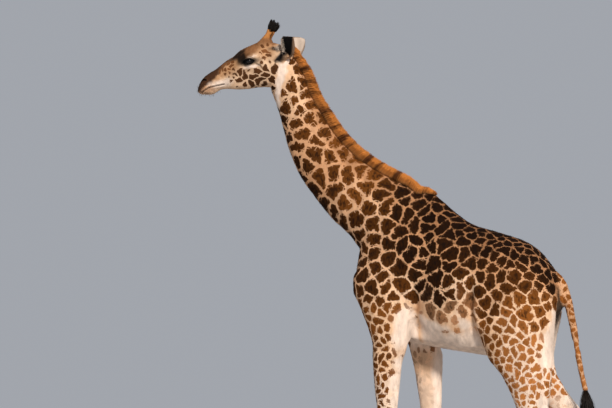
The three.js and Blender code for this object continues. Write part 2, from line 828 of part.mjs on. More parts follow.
// Locks in a ring about the tip of an ossicone.
function ossiconeTuft(side) {
  const [z, ahead, x, long] = OSSICONE[OSSICONE.length - 1];
  const base = headPoint(side * x, ahead, z + GAP);
  const random = seeded(side > 0 ? 7 : 8);
  const core = skinned(
    [
      [0, 1],
      [0.5, 0.96],
      [1, 0.55],
    ].map(([up, size]) =>
      ovalShares(10, 2).map(([a, b]) =>
        base
          .clone()
          .add(new THREE.Vector3(a * long * size, b * long * size, up * OSSICONE_TUFT.core)),
      ),
    ),
  );
  const locks = Array.from({ length: OSSICONE_TUFT.locks }, (_, i) => {
    const angle = (i / OSSICONE_TUFT.locks) * 2 * Math.PI;
    const out = new THREE.Vector3(Math.cos(angle), Math.sin(angle), 0);
    const rear = Math.max(0, out.y);
    const back = OSSICONE_TUFT.lean * (0.8 + 0.3 * random()) * (1 + 0.35 * rear);
    const spike = i === 1 ? OSSICONE_TUFT.spike : 0;
    const length = OSSICONE_TUFT.length * (0.85 + 0.2 * random()) * (1 - 0.5 * rear) + spike;
    const line = [0, 0.4, 0.75, 1].map((share) =>
      base
        .clone()
        .addScaledVector(out, long * (0.5 + 0.5 * share - 0.35 * share * share))
        .add(new THREE.Vector3(0, back * share * share, 6 + share * length)),
    );
    const flat = new THREE.Vector3(-out.y, out.x, 0);
    return lock(line, flat, OSSICONE_TUFT.width, OSSICONE_TUFT.thick);
  });
  return joined([core, ...locks]);
}

// Long locks that hang from the end of the tail round a short core.
function tailTuft() {
  const end = TAIL[TAIL.length - 1];
  const radius = end[2];
  const top = new THREE.Vector3(0, end[0], end[1] - GAP);
  const { along } = axisAt(TAIL_AXIS, TAIL_AXIS[TAIL_AXIS.length - 1][0]);
  const drop = (share) =>
    top
      .clone()
      .addScaledVector(along, share * TAIL_TUFT.length * 0.5)
      .add(new THREE.Vector3(0, 0, -share * TAIL_TUFT.length * 0.5));
  const core = skinned(
    [0, 0.25, 0.6, 1].map((step) => {
      const middle = drop((step * TAIL_TUFT.core) / TAIL_TUFT.length);
      const size = radius * (1 + 0.5 * Math.sin(step * Math.PI * 0.8));
      return ovalShares(8, 2).map(([a, b]) =>
        middle.clone().add(new THREE.Vector3(a * size, b * size, 0)),
      );
    }),
  );
  const random = seeded(55);
  const locks = Array.from({ length: TAIL_TUFT.locks }, (_, i) => {
    const angle = i * 2.4;
    const ring = 0.45 + 0.55 * (i / TAIL_TUFT.locks);
    const out = new THREE.Vector3(Math.cos(angle), Math.sin(angle), 0);
    const length = 1 - 0.3 * random() * ring;
    const line = [0.03, 0.3, 0.58, 0.82, 1].map((share) => {
      const swell = ring * (radius * 0.7 + 26 * Math.sin(Math.min(1, share * 1.2) * Math.PI * 0.78));
      return drop(share * length).addScaledVector(out, swell);
    });
    const flat = new THREE.Vector3(-out.y, out.x, 0);
    return lock(line, flat, TAIL_TUFT.width * (0.85 + 0.3 * random()), TAIL_TUFT.thick);
  });
  return joined([core, ...locks]);
}

// ---------------------------------------------------------------- the whole animal

const giraffe = new THREE.Group();

function addPart(name, solid, colour, roughness = 0.85) {
  const material = new THREE.MeshStandardMaterial({ color: colour, roughness, metalness: 0 });
  const mesh = new THREE.Mesh(geometryOf(solid), material);
  mesh.name = name;
  giraffe.add(mesh);
}

const legs = [
  { name: "fore_leg_left", table: FORE_LEG, side: SIDES.left, cut: ELBOW_CUT },
  { name: "fore_leg_right", table: FORE_LEG, side: SIDES.right, strides: FORE_STRIDE, cut: ELBOW_CUT },
  { name: "hind_leg_left", table: HIND_LEG, side: SIDES.left, cut: STIFLE_CUT },
  { name: "hind_leg_right", table: HIND_LEG, side: SIDES.right, strides: HIND_STRIDE, cut: STIFLE_CUT },
].map((one) => ({ ...one, solid: leg(one.table, one.side, one.strides) }));

const tailSolid = tail();
const neckSolid = neck();
const trunkSolid = trunk().add(udder());

// The trunk with the shoulders, haunches, neck base and tail root that grow out of it.
const shoulders = joined(legs.map(({ solid, cut }) => above(solid, cut)));
const tailAxisSide = (solid, keep) => beyond(solid, TAIL_ROOT, keep);
const torso = joined([
  beyond(joined([trunkSolid, shoulders]), NECK_BASE, -1),
  beyond(neckSolid, NECK_BASE, -1),
  tailAxisSide(tailSolid, 1),
]);
addPart("torso", torso, COLOURS.coat);

const trunkSpace = trunk(GAP);
for (const { name, solid, cut, table, side, strides } of legs) {
  const [lowest, soleY, soleX] = table[table.length - 1];
  const y = soleY + strideAt(strides, lowest);
  const shank = below(solid, cut).subtract(trunkSpace);
  addPart(name, atCoronet(shank, y, 1), COLOURS.pale);
  addPart(name.replace("leg", "hoof"), hoof(side, soleX, y), COLOURS.hoof, 0.5);
}

const freeTail = beyond(tailAxisSide(tailSolid, -1), TAIL_END, 1);
addPart("tail", freeTail.subtract(torso.translate([0, GAP, 0])), COLOURS.coat);
addPart("tail_tuft", beyond(tailTuft(), TAIL_END, -1), COLOURS.hair);

const skullSolid = skull();
const skullSpace = skull(GAP);
const neckPart = beyond(
  beyond(joined([neckSolid, trunkSolid, skullSolid]), NECK_BASE, 1),
  POLL,
  -1,
);
addPart("neck", neckPart, COLOURS.neck);

// Lids stand round each eye, and the eyeball sits in its socket behind them.
let head = beyond(joined([skullSolid, neckSolid]), POLL, 1);
for (const side of Object.values(SIDES)) {
  head = head
    .add(atEye(ball(EYE.radius + EYE.lid), side))
    .subtract(lidOpening(side))
    .subtract(atEye(ball(EYE.radius + GAP), side))
    .subtract(nostril(side));
}
const groove = mouthBand(MOUTH_GROOVE.width).subtract(skull(-MOUTH_GROOVE.depth));
head = head.subtract(groove);
addPart("head", head.subtract(jawSpace(-GAP)), COLOURS.head);
addPart("lower_jaw", head.intersect(jawSpace(GAP)), COLOURS.pale);

const neckSpace = neck(GAP);
for (const [name, side] of Object.entries(SIDES)) {
  addPart(`eye_${name}`, atEye(ball(EYE.radius), side), COLOURS.eye, 0.1);
  addPart(`ear_${name}`, ear(side, EAR_AIM[name]).subtract(skullSpace).subtract(neckSpace), COLOURS.ear);
  addPart(`ossicone_${name}`, ossicone(side).subtract(skullSpace), COLOURS.ossicone);
  addPart(`ossicone_tuft_${name}`, ossiconeTuft(side), COLOURS.hair);
}

const maneSeat = joined([neckSpace, trunkSpace, skullSpace]);
for (let part = 0; part < MANE_PARTS; part++)
  addPart(`mane_${part + 1}`, manePart(part).subtract(maneSeat), COLOURS.mane);

// The middle of the bounding box comes over the origin.
const box = new THREE.Box3().setFromObject(giraffe);
giraffe.position.set(-(box.min.x + box.max.x) / 2, -(box.min.y + box.max.y) / 2, -box.min.z);

export default giraffe;
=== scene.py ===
"""A life-size giraffe cow standing still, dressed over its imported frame.

Run as a script inside Blender. Metres, +Z up, the animal faces -Y and its left side is +X.
"""

import math
from contextlib import contextmanager
from functools import partial

import bmesh
import bpy
import numpy as np
from bpy.props import FloatProperty, FloatVectorProperty, IntProperty, PointerProperty
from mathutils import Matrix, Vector, kdtree
from mathutils.bvhtree import BVHTree


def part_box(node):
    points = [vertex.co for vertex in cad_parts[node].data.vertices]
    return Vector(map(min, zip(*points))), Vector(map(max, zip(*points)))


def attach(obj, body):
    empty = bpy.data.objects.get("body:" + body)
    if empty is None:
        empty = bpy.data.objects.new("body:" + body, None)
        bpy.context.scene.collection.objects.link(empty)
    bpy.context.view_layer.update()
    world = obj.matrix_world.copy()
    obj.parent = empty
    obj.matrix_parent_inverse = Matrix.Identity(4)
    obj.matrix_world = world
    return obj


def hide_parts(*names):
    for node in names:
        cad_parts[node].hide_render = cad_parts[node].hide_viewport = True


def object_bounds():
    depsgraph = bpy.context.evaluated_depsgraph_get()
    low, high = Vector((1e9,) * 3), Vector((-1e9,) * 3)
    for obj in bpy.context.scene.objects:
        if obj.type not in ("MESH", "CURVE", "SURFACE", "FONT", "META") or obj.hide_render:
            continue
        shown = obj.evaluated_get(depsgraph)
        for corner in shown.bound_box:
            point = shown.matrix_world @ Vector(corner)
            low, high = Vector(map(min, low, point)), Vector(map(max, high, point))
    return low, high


bl_info = {
    "name": "Museum Giraffe",
    "version": (1, 0, 0),
    "blender": (4, 5, 0),
    "location": "3D View > Sidebar > Giraffe",
    "description": "Builds the skin, coat, mane, eyes and hooves of a standing giraffe",
    "category": "Object",
}

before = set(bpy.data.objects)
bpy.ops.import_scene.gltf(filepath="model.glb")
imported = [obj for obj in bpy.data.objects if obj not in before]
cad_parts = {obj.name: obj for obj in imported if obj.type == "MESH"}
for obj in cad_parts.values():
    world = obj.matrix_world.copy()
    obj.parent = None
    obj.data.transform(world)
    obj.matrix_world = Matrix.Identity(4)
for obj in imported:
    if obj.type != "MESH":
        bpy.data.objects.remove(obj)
CAD_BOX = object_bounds()

# ---------------- what a user may change


def a_length(name, description, default, low=0.0):
    return FloatProperty(
        name=name, description=description, default=default, min=low, precision=4, unit="LENGTH"
    )


def a_count(name, description, default):
    return IntProperty(name=name, description=description, default=default, min=1)


def a_share(name, description, default, high=1.0):
    return FloatProperty(
        name=name, description=description, default=default, min=0, max=high, subtype="FACTOR"
    )


def an_angle(name, description, degrees):
    return FloatProperty(name=name, description=description, default=math.radians(degrees), subtype="ANGLE")


def a_colour(name, description, default):
    return FloatVectorProperty(
        name=name, description=description, default=default, min=0, max=1, subtype="COLOR"
    )


class GiraffeSkin(bpy.types.PropertyGroup):
    """The skin's grain and its markings."""

    body_voxel: a_length("Body grain", "Size of the voxels the body's forms are joined with", 0.0152, 0.008)
    head_voxel: a_length("Head grain", "Size of the voxels the head's forms are joined with", 0.003, 0.002)
    coat_depth: a_length("Coat depth", "How far the skin lies inside the solids of flesh", 0.0025)
    triangles: a_count("Triangles", "Triangles kept before the patches' outlines are cut in", 128000)
    wander: a_length("Wander", "How far the patches' borders wander from straight", 0.010)
    seed: a_count("Pattern", "Seed of the patches' places", 7)


class GiraffeHair(bpy.types.PropertyGroup):
    """Counts and sizes of the mane, the tufts and the short coat."""

    mane_locks: a_count("Mane locks", "Locks along the crest", 9500)
    mane_half_width: a_length("Mane half width", "How far the mane's roots lie from the crest", 0.012)
    tail_locks: a_count("Tail locks", "Locks of the tail's tuft", 1700)
    horn_hairs: a_count("Ossicone hairs", "Hairs on each ossicone", 1500)
    coat_tufts: a_count("Coat tufts", "Short tufts over the whole skin", 100000)
    tuft_length: a_length("Tuft length", "Length of the trunk's tufts", 0.016)
    tuft_half_width: a_length("Tuft half width", "Half the width of a tuft at its root", 0.0016)
    tuft_rise: an_angle("Tuft rise", "How steeply the tufts stand off the skin", 4.0)


class GiraffeColours(bpy.types.PropertyGroup):
    """Colours of the patches, the ground between them, the head, the hair, the hooves and the eyes."""

    patch_black: a_colour("Blackest patch", "Patches along the back", (0.0100, 0.0032, 0.0008))
    patch_dark: a_colour("Dark patch", "Patches high on the ribs", (0.021, 0.0066, 0.0011))
    patch_brown: a_colour("Brown patch", "Patches of the neck and shoulder", (0.069, 0.0215, 0.0033))
    patch_russet: a_colour("Russet patch", "Patches of the thigh", (0.22, 0.072, 0.0135))
    patch_orange: a_colour("Orange patch", "Patches of the legs", (0.43, 0.165, 0.047))
    patch_faint: a_colour("Faint patch", "The last patches near the feet and the belly", (0.62, 0.37, 0.21))
    ground_tan: a_colour("Tan ground", "Lines along the back", (0.24, 0.105, 0.045))
    ground_buff: a_colour("Buff ground", "Lines of the neck and ribs", (0.54, 0.275, 0.135))
    ground_cream: a_colour("Cream ground", "Lines low on the trunk", (0.75, 0.49, 0.31))
    ground_white: a_colour("White ground", "Belly and lower legs", (0.83, 0.67, 0.56))
    cream: a_colour("Cheek", "Ground of the face", (0.68, 0.46, 0.30))
    white: a_colour("White of the face", "Round the eyes, behind the jaw and on the lips", (0.80, 0.65, 0.55))
    forehead: a_colour("Forehead", "Brown of the forehead", (0.235, 0.105, 0.044))
    tan: a_colour("Tan of the face", "Sides of the nose and temples", (0.44, 0.235, 0.115))
    bridge: a_colour("Nose", "Dark brown of the nose's bridge", (0.055, 0.023, 0.011))
    streak: a_colour("Face patch", "Patches of the cheeks and temples", (0.12, 0.046, 0.016))
    dark: a_colour("Dark marks", "Brow and mouth line", (0.012, 0.007, 0.005))
    lip: a_colour("Lips", "Bare skin of the lips", (0.44, 0.25, 0.15))
    horn_hair: a_colour("Ossicone", "Short hair of the ossicones' stems", (0.49, 0.205, 0.062))
    black: a_colour("Black skin", "Lid rims, nostrils and the ears' cups", (0.006, 0.005, 0.005))
    ear_back: a_colour("Ear's back", "Pale back of the ears", (0.52, 0.415, 0.34))
    ear_rim: a_colour("Ear's rim", "Brown rim of the ears", (0.20, 0.12, 0.075))
    mane: a_colour("Mane", "Tips of the mane's locks", (0.58, 0.215, 0.042))
    black_hair: a_colour("Black hair", "Tail tuft and ossicone tufts", (0.009, 0.006, 0.005))
    hoof: a_colour("Hoof", "Paler rings of the hooves", (0.105, 0.080, 0.062))
    iris: a_colour("Iris", "Brown of the eyes", (0.020, 0.010, 0.006))


class GiraffeStage(bpy.types.PropertyGroup):
    """Floor, light and camera."""

    floor_width: a_length("Floor width", "Width of the square floor", 18.0)
    floor_colour: a_colour("Floor", "Colour of the floor", (0.46, 0.44, 0.42))
    surround: a_share("Surround", "Strength of the pale surround's light", 0.45)
    sun_power: FloatProperty(name="Key light", description="Strength of the key light", default=3.9, min=0)
    sun_size: an_angle("Key light's size", "How wide and so how soft the key light is", 9.0)
    sun_rise: an_angle("Key light's rise", "How high the key light stands", 30.0)
    sun_turn: an_angle("Key light's turn", "The light's turn from the animal's left towards its rear", 39.2)
    camera_turn: an_angle("Camera turn", "The camera's turn from the animal's left towards its rear", 22.0)
    camera_distance: a_length("Camera distance", "How far away the camera stands", 60.0)
    lens: FloatProperty(name="Lens", description="The camera's focal length", default=536.5, unit="CAMERA")


GROUPS = {"skin": GiraffeSkin, "hair": GiraffeHair, "colours": GiraffeColours, "stage": GiraffeStage}
PATCH_ROW = ("patch_black", "patch_dark", "patch_brown", "patch_russet", "patch_orange", "patch_faint")
GROUND_ROW = ("ground_tan", "ground_buff", "ground_cream", "ground_white")
FACE_ROW = ("cream", "white", "forehead", "tan", "bridge", "streak")
FACE_ROW += ("dark", "lip", "horn_hair", "black", "ear_back", "ear_rim")


def settings(group):
    """The scene's own settings of one group."""
    return getattr(bpy.context.scene, "giraffe_" + group)


# ---------------- the animal's own measures

EYE_AHEAD = 0.227  # how far the eyes lie ahead of the upright axis the head turns about
POLL_AXIS_Y = -1.242  # that axis, ahead of the trunk's middle
SIDES = {"left": 1, "right": -1}


def middle_of(node):
    low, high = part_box(node)
    return (np.array(low) + np.array(high)) / 2


EYES = {side: middle_of(f"eye_{side}") for side in SIDES}
EYE_RADIUS = (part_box("eye_left")[1][0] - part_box("eye_left")[0][0]) / 2
MID_X = middle_of("torso")[0]

# The head's own frame: across to its left, ahead towards the nose, from the axis at the poll.
HEAD_ACROSS = EYES["left"] - EYES["right"]
HEAD_ACROSS /= np.linalg.norm(HEAD_ACROSS)
HEAD_AHEAD = np.array([HEAD_ACROSS[1], -HEAD_ACROSS[0], 0.0])
HEAD_ORIGIN = (EYES["left"] + EYES["right"]) / 2 - EYE_AHEAD * HEAD_AHEAD
HEAD_ORIGIN[2] = 0.0
BODY_ORIGIN = np.array([MID_X, HEAD_ORIGIN[1] - POLL_AXIS_Y, 0.0])

# Planes across the neck, as a point and the way towards the head, in the body's own frame.
POLL_PLANE = (np.array([0, -1.262, 3.448]), np.radians(34))
NECK_BASE_PLANE = (np.array([0, -0.511, 2.465]), np.radians(45))

# The neck's axis from the trunk to the poll, as y and z.
NECK_AXIS = [[-0.180, 2.190], [-0.380, 2.340], [-0.511, 2.462], [-0.619, 2.546], [-0.742, 2.640]]
NECK_AXIS += [[-0.868, 2.752], [-0.985, 2.890], [-1.092, 3.068], [-1.164, 3.235], [-1.212, 3.370]]
NECK_AXIS = np.array(NECK_AXIS + [[-1.268, 3.500]])
# The line before the free tail, as z and y.
TAIL_FRONT = np.array(
    [[1.30, 0.840], [1.45, 0.825], [1.60, 0.795], [1.76, 0.765], [1.93, 0.728], [2.03, 0.712], [2.12, 0.69]]
)
# The tail's axis, as y and z, and its radius.
TAIL_AXIS = [[0.722, 2.022, 0.037], [0.757, 1.930, 0.030], [0.795, 1.760, 0.026]]
TAIL_AXIS = np.array(TAIL_AXIS + [[0.826, 1.585, 0.022], [0.853, 1.450, 0.019], [0.883, 1.332, 0.020]])
# The back's line, as y and z, and the rear edges of the upper legs, as z and y.
# The right hind leg stands ahead.
BACK_LINE = np.array(
    [[-0.35, 2.63], [-0.21, 2.655], [0.0, 2.49], [0.25, 2.39], [0.48, 2.31], [0.63, 2.17], [0.72, 2.0]]
)
FORE_REAR = np.array([[1.1, -0.39], [1.4, -0.355], [1.645, -0.293], [1.77, -0.271], [2.04, -0.258]])
HIND_REAR = np.array([[1.22, 0.686], [1.44, 0.709], [1.64, 0.705], [1.9, 0.71], [2.06, 0.677]])
HIND_REAR_RIGHT = np.array(
    [[1.3, 0.719], [1.4, 0.651], [1.5, 0.608], [1.6, 0.604], [1.7, 0.634], [1.8, 0.664], [1.9, 0.69]]
)


def in_body(points):
    return points - BODY_ORIGIN


def in_head(points):
    """Across to the head's left, ahead of the poll axis, and height."""
    away = points - HEAD_ORIGIN
    return columns(away @ HEAD_ACROSS, away @ HEAD_AHEAD, points[:, 2])


def plane_normal(tilt):
    return np.array([0.0, -math.cos(tilt), math.sin(tilt)])


def beyond(points, plane):
    """How far points lie on the head's side of a plane across the neck."""
    at, tilt = plane
    return (in_body(points) - at) @ plane_normal(tilt)


def past_poll(points, start, end):
    """How far points lie past the poll, as 0 before the start and 1 after the end."""
    return ramp(beyond(points, POLL_PLANE), start, end)


def ramp(value, start, end):
    """0 before start and 1 after end, with a smooth way between them."""
    t = np.clip((value - start) / (end - start), 0, 1)
    return t * t * (3 - 2 * t)


def fade(value, start, end):
    """1 before start and 0 after end."""
    return 1 - ramp(value, start, end)


def bump_at(distance, width):
    return np.exp(-((distance / width) ** 2))


def between(first, second, share):
    return first * (1 - share) + second * share


def mixed(first, second, share):
    """Rows taken from the first to the second, by a share for each."""
    return between(first, second, np.asarray(share)[:, None])


def columns(*parts):
    """Values side by side, one row for each place."""
    return np.stack(parts, axis=1)


def unit(vectors):
    return vectors / np.maximum(np.linalg.norm(vectors, axis=1, keepdims=True), 1e-9)


WAVES, WAVE_SUM = 7, 2.6  # how many waves make a field, and how large their sum usually is


def waves(points, size, seed):
    """A smooth random field of three numbers from about -1 to 1, with waves of about that size."""
    random = np.random.default_rng(seed)
    total = np.zeros((len(points), 3))
    for _ in range(WAVES):
        way = random.normal(size=(3, 3))
        way *= (2 * math.pi / size) / np.linalg.norm(way, axis=1, keepdims=True)
        way *= random.uniform(0.6, 1.5, size=(3, 1))
        total += np.sin(points @ way.T + random.uniform(0, 2 * math.pi, 3))
    return total / WAVE_SUM


# ---------------- meshes and objects


def only(obj):
    bpy.ops.object.select_all(action="DESELECT")
    obj.select_set(True)
    bpy.context.view_layer.objects.active = obj


def apply_modifier(obj, kind, **options):
    only(obj)
    modifier = obj.modifiers.new(kind.lower(), kind)
    for key, value in options.items():
        setattr(modifier, key, value)
    bpy.ops.object.modifier_apply(modifier=modifier.name)


def rows_of(items, key, wide, kind=np.float32):
    """A value of each vertex, edge or corner, as rows of that width."""
    flat = np.empty(len(items) * wide, kind)
    items.foreach_get(key, flat)
    return flat.reshape(-1, wide)


def points_of(mesh):
    return rows_of(mesh.vertices, "co", 3).astype(float)


def set_points(mesh, points):
    mesh.vertices.foreach_set("co", points.astype(np.float32).ravel())
    mesh.update()


def normals_of(mesh):
    return rows_of(mesh.vertex_normals, "vector", 3).astype(float)


def edges_of(mesh):
    return rows_of(mesh.edges, "vertices", 2, np.int32)


def by_triangle(mesh, key):
    """The vertices or the edges, by the corners of a mesh of triangles."""
    return rows_of(mesh.loops, key, 1, np.int32).reshape(-1, 3)


def triangles_of(mesh):
    return by_triangle(mesh, "vertex_index")


def twice_areas(corners):
    return np.linalg.norm(np.cross(corners[:, 1] - corners[:, 0], corners[:, 2] - corners[:, 0]), axis=1)


@contextmanager
def opened(mesh):
    """A mesh opened for editing and then written back."""
    work = bmesh.new()
    work.from_mesh(mesh)
    yield work
    work.to_mesh(mesh)
    work.free()


def triangulate_large(work):
    bmesh.ops.triangulate(work, faces=[face for face in work.faces if len(face.verts) > 4])


EVEN_OUT, GROW_BACK = 0.5, -0.51  # the smoothing's steps: towards the neighbours' middle, and away from it


def smoothed(points, edges, rounds, share=None, keep_volume=True):
    """Evens points out along their edges, by a share for each, without shrinking the form."""
    count = len(points)
    ends = np.bincount(edges.ravel(), minlength=count)[:, None]
    share = np.ones((count, 1)) if share is None else share[:, None]
    a, b = edges.T
    for _ in range(rounds):
        for step in (EVEN_OUT, GROW_BACK) if keep_volume else (EVEN_OUT,):
            sums = [np.bincount(a, row[b], count) + np.bincount(b, row[a], count) for row in points.T]
            points = points + step * share * (np.stack(sums, axis=1) / np.maximum(ends, 1) - points)
    return points


def copy_of(node):
    """A new object with a merged copy of a CAD node's mesh."""
    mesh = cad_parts[node].data.copy()
    mesh.materials.clear()
    obj = bpy.data.objects.new(node + "_copy", mesh)
    bpy.context.collection.objects.link(obj)
    with opened(mesh) as work:
        bmesh.ops.remove_doubles(work, verts=work.verts, dist=1e-5)
    return obj


def joined(objects, name):
    bpy.ops.object.select_all(action="DESELECT")
    for obj in objects:
        obj.select_set(True)
    bpy.context.view_layer.objects.active = objects[0]
    bpy.ops.object.join()
    objects[0].name = objects[0].data.name = name
    return objects[0]


def cut_across(obj, plane, shift, keep_head, fill):
    """Cuts an object across the neck, keeping the head's side or the body's."""
    at, tilt = plane
    normal = plane_normal(tilt)
    only(obj)
    bpy.ops.object.mode_set(mode="EDIT")
    bpy.ops.mesh.select_all(action="SELECT")
    bpy.ops.mesh.bisect(
        plane_co=BODY_ORIGIN + at + normal * shift,
        plane_no=normal,
        use_fill=fill,
        clear_inner=keep_head,
        clear_outer=not keep_head,
    )
    bpy.ops.object.mode_set(mode="OBJECT")


def add_attribute(mesh, name, values):
    """Gives every vertex a number or a colour."""
    coloured = values.ndim == 2
    layer = mesh.attributes.new(name, "FLOAT_COLOR" if coloured else "FLOAT", "POINT")
    if coloured:
        values = np.concatenate([values, np.ones((len(values), 1))], axis=1)
    layer.data.foreach_set("color" if coloured else "value", values.astype(np.float32).ravel())


def read_attribute(mesh, name):
    layer = mesh.attributes[name]
    if layer.data_type == "FLOAT_COLOR":
        return rows_of(layer.data, "color", 4)[:, :3].astype(float)
    return rows_of(layer.data, "value", 1)[:, 0].astype(float)


def finish_piece(obj, material, replaced=()):
    obj.data.materials.clear()
    obj.data.materials.append(material)
    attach(obj, "root")
    if replaced:
        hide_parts(*replaced)


# ---------------- one skin over the flesh

SEAM_SHIFT = -0.07  # where the fine head mesh meets the body mesh, from the poll plane
SEAM_GAP = 0.003  # half the gap between the two meshes that the bridge closes
SOCKET_FILL = 0.0075  # how far the filling of a socket stands out round the eye
JAW_FILL_SCALE, JAW_FILL_LIFT = (0.94, 0.98, 1.0), 0.0035
HEAD_FLESH = ["head", "lower_jaw", "ear_left", "ear_right", "ossicone_left", "ossicone_right"]
BODY_FLESH = ["torso", "neck", "tail"] + [f"{end}_leg_{side}" for end in ("fore", "hind") for side in SIDES]


def eye_fill(side):
    """A ball that fills the socket, so that the lids can be carved in it afterwards."""
    bpy.ops.mesh.primitive_uv_sphere_add(
        segments=32, ring_count=16, radius=EYE_RADIUS + SOCKET_FILL, location=EYES[side]
    )
    bpy.ops.object.transform_apply()
    return bpy.context.object


def jaw_fill():
    """The lower jaw again, a little narrower and higher, so that no pocket stays open inside the mouth."""
    fill = copy_of("lower_jaw")
    points = points_of(fill.data)
    middle = (points.min(axis=0) + points.max(axis=0)) / 2
    points = middle + (points - middle) * np.array(JAW_FILL_SCALE) + np.array([0, 0, JAW_FILL_LIFT])
    set_points(fill.data, points)
    return fill


def rough_skin():
    """The flesh nodes as one closed mesh, fine on the head and coarser on the body."""
    neck = copy_of("neck")
    cut_across(neck, POLL_PLANE, SEAM_SHIFT - 0.05, keep_head=True, fill=True)
    fills = [jaw_fill()] + [eye_fill(side) for side in SIDES]
    head = joined([copy_of(n) for n in HEAD_FLESH] + [neck] + fills, "skin")
    apply_modifier(head, "REMESH", mode="VOXEL", voxel_size=settings("skin").head_voxel)
    cut_across(head, POLL_PLANE, SEAM_SHIFT + SEAM_GAP, keep_head=True, fill=False)
    body = joined([copy_of(n) for n in BODY_FLESH], "body")
    apply_modifier(body, "REMESH", mode="VOXEL", voxel_size=settings("skin").body_voxel)
    cut_across(body, POLL_PLANE, SEAM_SHIFT - SEAM_GAP, keep_head=False, fill=False)
    skin = joined([head, body], "skin")
    with opened(skin.data) as work:
        bmesh.ops.bridge_loops(work, edges=[edge for edge in work.edges if edge.is_boundary])
        triangulate_large(work)
    return skin


def keep_largest(obj):
    """Removes the scraps that the voxels leave inside a form."""
    with opened(obj.data) as work:
        seen = set()
        bodies = []
        for start in work.verts:
            if start in seen:
                continue
            seen.add(start)
            found = [start]
            for vert in found:
                fresh = [edge.other_vert(vert) for edge in vert.link_edges]
                fresh = [other for other in fresh if other not in seen]
                seen.update(fresh)
                found += fresh
            bodies.append(found)
        bodies.sort(key=len)
        scraps = [vert for body in bodies[:-1] for vert in body]
        bmesh.ops.delete(work, geom=scraps, context="VERTS")
        bmesh.ops.recalc_face_normals(work, faces=work.faces)


# Muscles, bones and hollows on each side of the body: name, place (x, y, z), reach (x, y, z), push out.
BODY_FORMS = [
    ("shoulder blade", (0.20, -0.30, 2.34), (0.10, 0.05, 0.17), 0.010),
    ("hollow behind the shoulder", (0.26, -0.17, 2.10), (0.10, 0.045, 0.22), -0.012),
    ("point of the shoulder", (0.20, -0.64, 2.06), (0.09, 0.05, 0.07), 0.010),
    ("upper arm", (0.24, -0.44, 1.98), (0.08, 0.11, 0.10), 0.012),
    ("elbow", (0.24, -0.275, 1.80), (0.07, 0.04, 0.07), 0.012),
    ("hollow before the elbow", (0.24, -0.36, 1.72), (0.06, 0.04, 0.08), -0.006),
    ("hip bone", (0.20, 0.36, 2.28), (0.06, 0.06, 0.04), 0.014),
    ("flank hollow", (0.26, 0.18, 2.10), (0.08, 0.08, 0.12), -0.018),
    ("stifle", (0.24, 0.25, 1.72), (0.08, 0.06, 0.09), 0.010),
    ("hollow before the hip joint", (0.24, 0.34, 2.10), (0.07, 0.05, 0.10), -0.007),
    ("hip joint", (0.22, 0.50, 2.12), (0.08, 0.07, 0.07), 0.010),
    ("seat bone", (0.12, 0.69, 2.02), (0.06, 0.05, 0.06), 0.008),
    ("hamstring groove", (0.24, 0.57, 1.80), (0.07, 0.025, 0.16), -0.007),
    ("throat groove", (0.09, -0.95, 2.78), (0.04, 0.10, 0.16), -0.006),
]
# Steps where a limb stands out from the trunk, on each side: name, line (z, y), the way from the limb's edge
# over the trunk (1 is to the rear), how far the hollow reaches that way, and its depth.
LIMB_STEPS = [
    ("behind the arm", [(1.56, -0.250), (1.70, -0.262), (1.85, -0.256), (2.12, -0.235)], 1, 0.065, 0.052),
    ("before the thigh", [(1.60, 0.215), (1.72, 0.182), (1.90, 0.172), (2.12, 0.200)], -1, 0.085, 0.055),
]
RIB_PITCH, RIB_HEIGHT = 0.075, 0.0012
EAR_WIDENING = 0.13


def widened_ears(points):
    """Gives the thin ears back the width that smoothing takes from their edges."""
    for side in SIDES:
        share, wide, out = ear_place(points, side)
        _, across, _ = ear_axes(side)
        _, middle = ear_shape(share)
        near = ramp(share, 0.25, 0.5) * (share < 1.1) * (np.abs(wide) < 0.085) * (np.abs(out) < 0.055)
        points = points + (near * (wide - middle) * EAR_WIDENING)[:, None] * across
    return points


def inside_box(points, margin=0.0):
    """Points drawn back into the solids' own box, where a form would stand out of it."""
    low, high = (np.array(corner) for corner in CAD_BOX)
    return np.clip(points, low + margin, high - margin)


def mirrored(points):
    """Body places with both sides laid over one another."""
    place = in_body(points)
    place[:, 0] = np.abs(place[:, 0])
    return place


def path_distance(points, path):
    """The distance of flat points from a path, and where along it the nearest place lies, from 0 to 1."""
    path = np.asarray(path, float)
    best = np.full(len(points), np.inf)
    along = np.zeros(len(points))
    steps = np.linalg.norm(np.diff(path, axis=0), axis=1)
    total, before = steps.sum(), 0.0
    for start, end, step in zip(path[:-1], path[1:], steps):
        share = np.clip(((points - start) @ (end - start)) / step**2, 0, 1)
        gap = np.linalg.norm(points - (start + share[:, None] * (end - start)), axis=1)
        nearer = gap < best
        best = np.where(nearer, gap, best)
        along = np.where(nearer, (before + share * step) / total, along)
        before += step
    return best, along


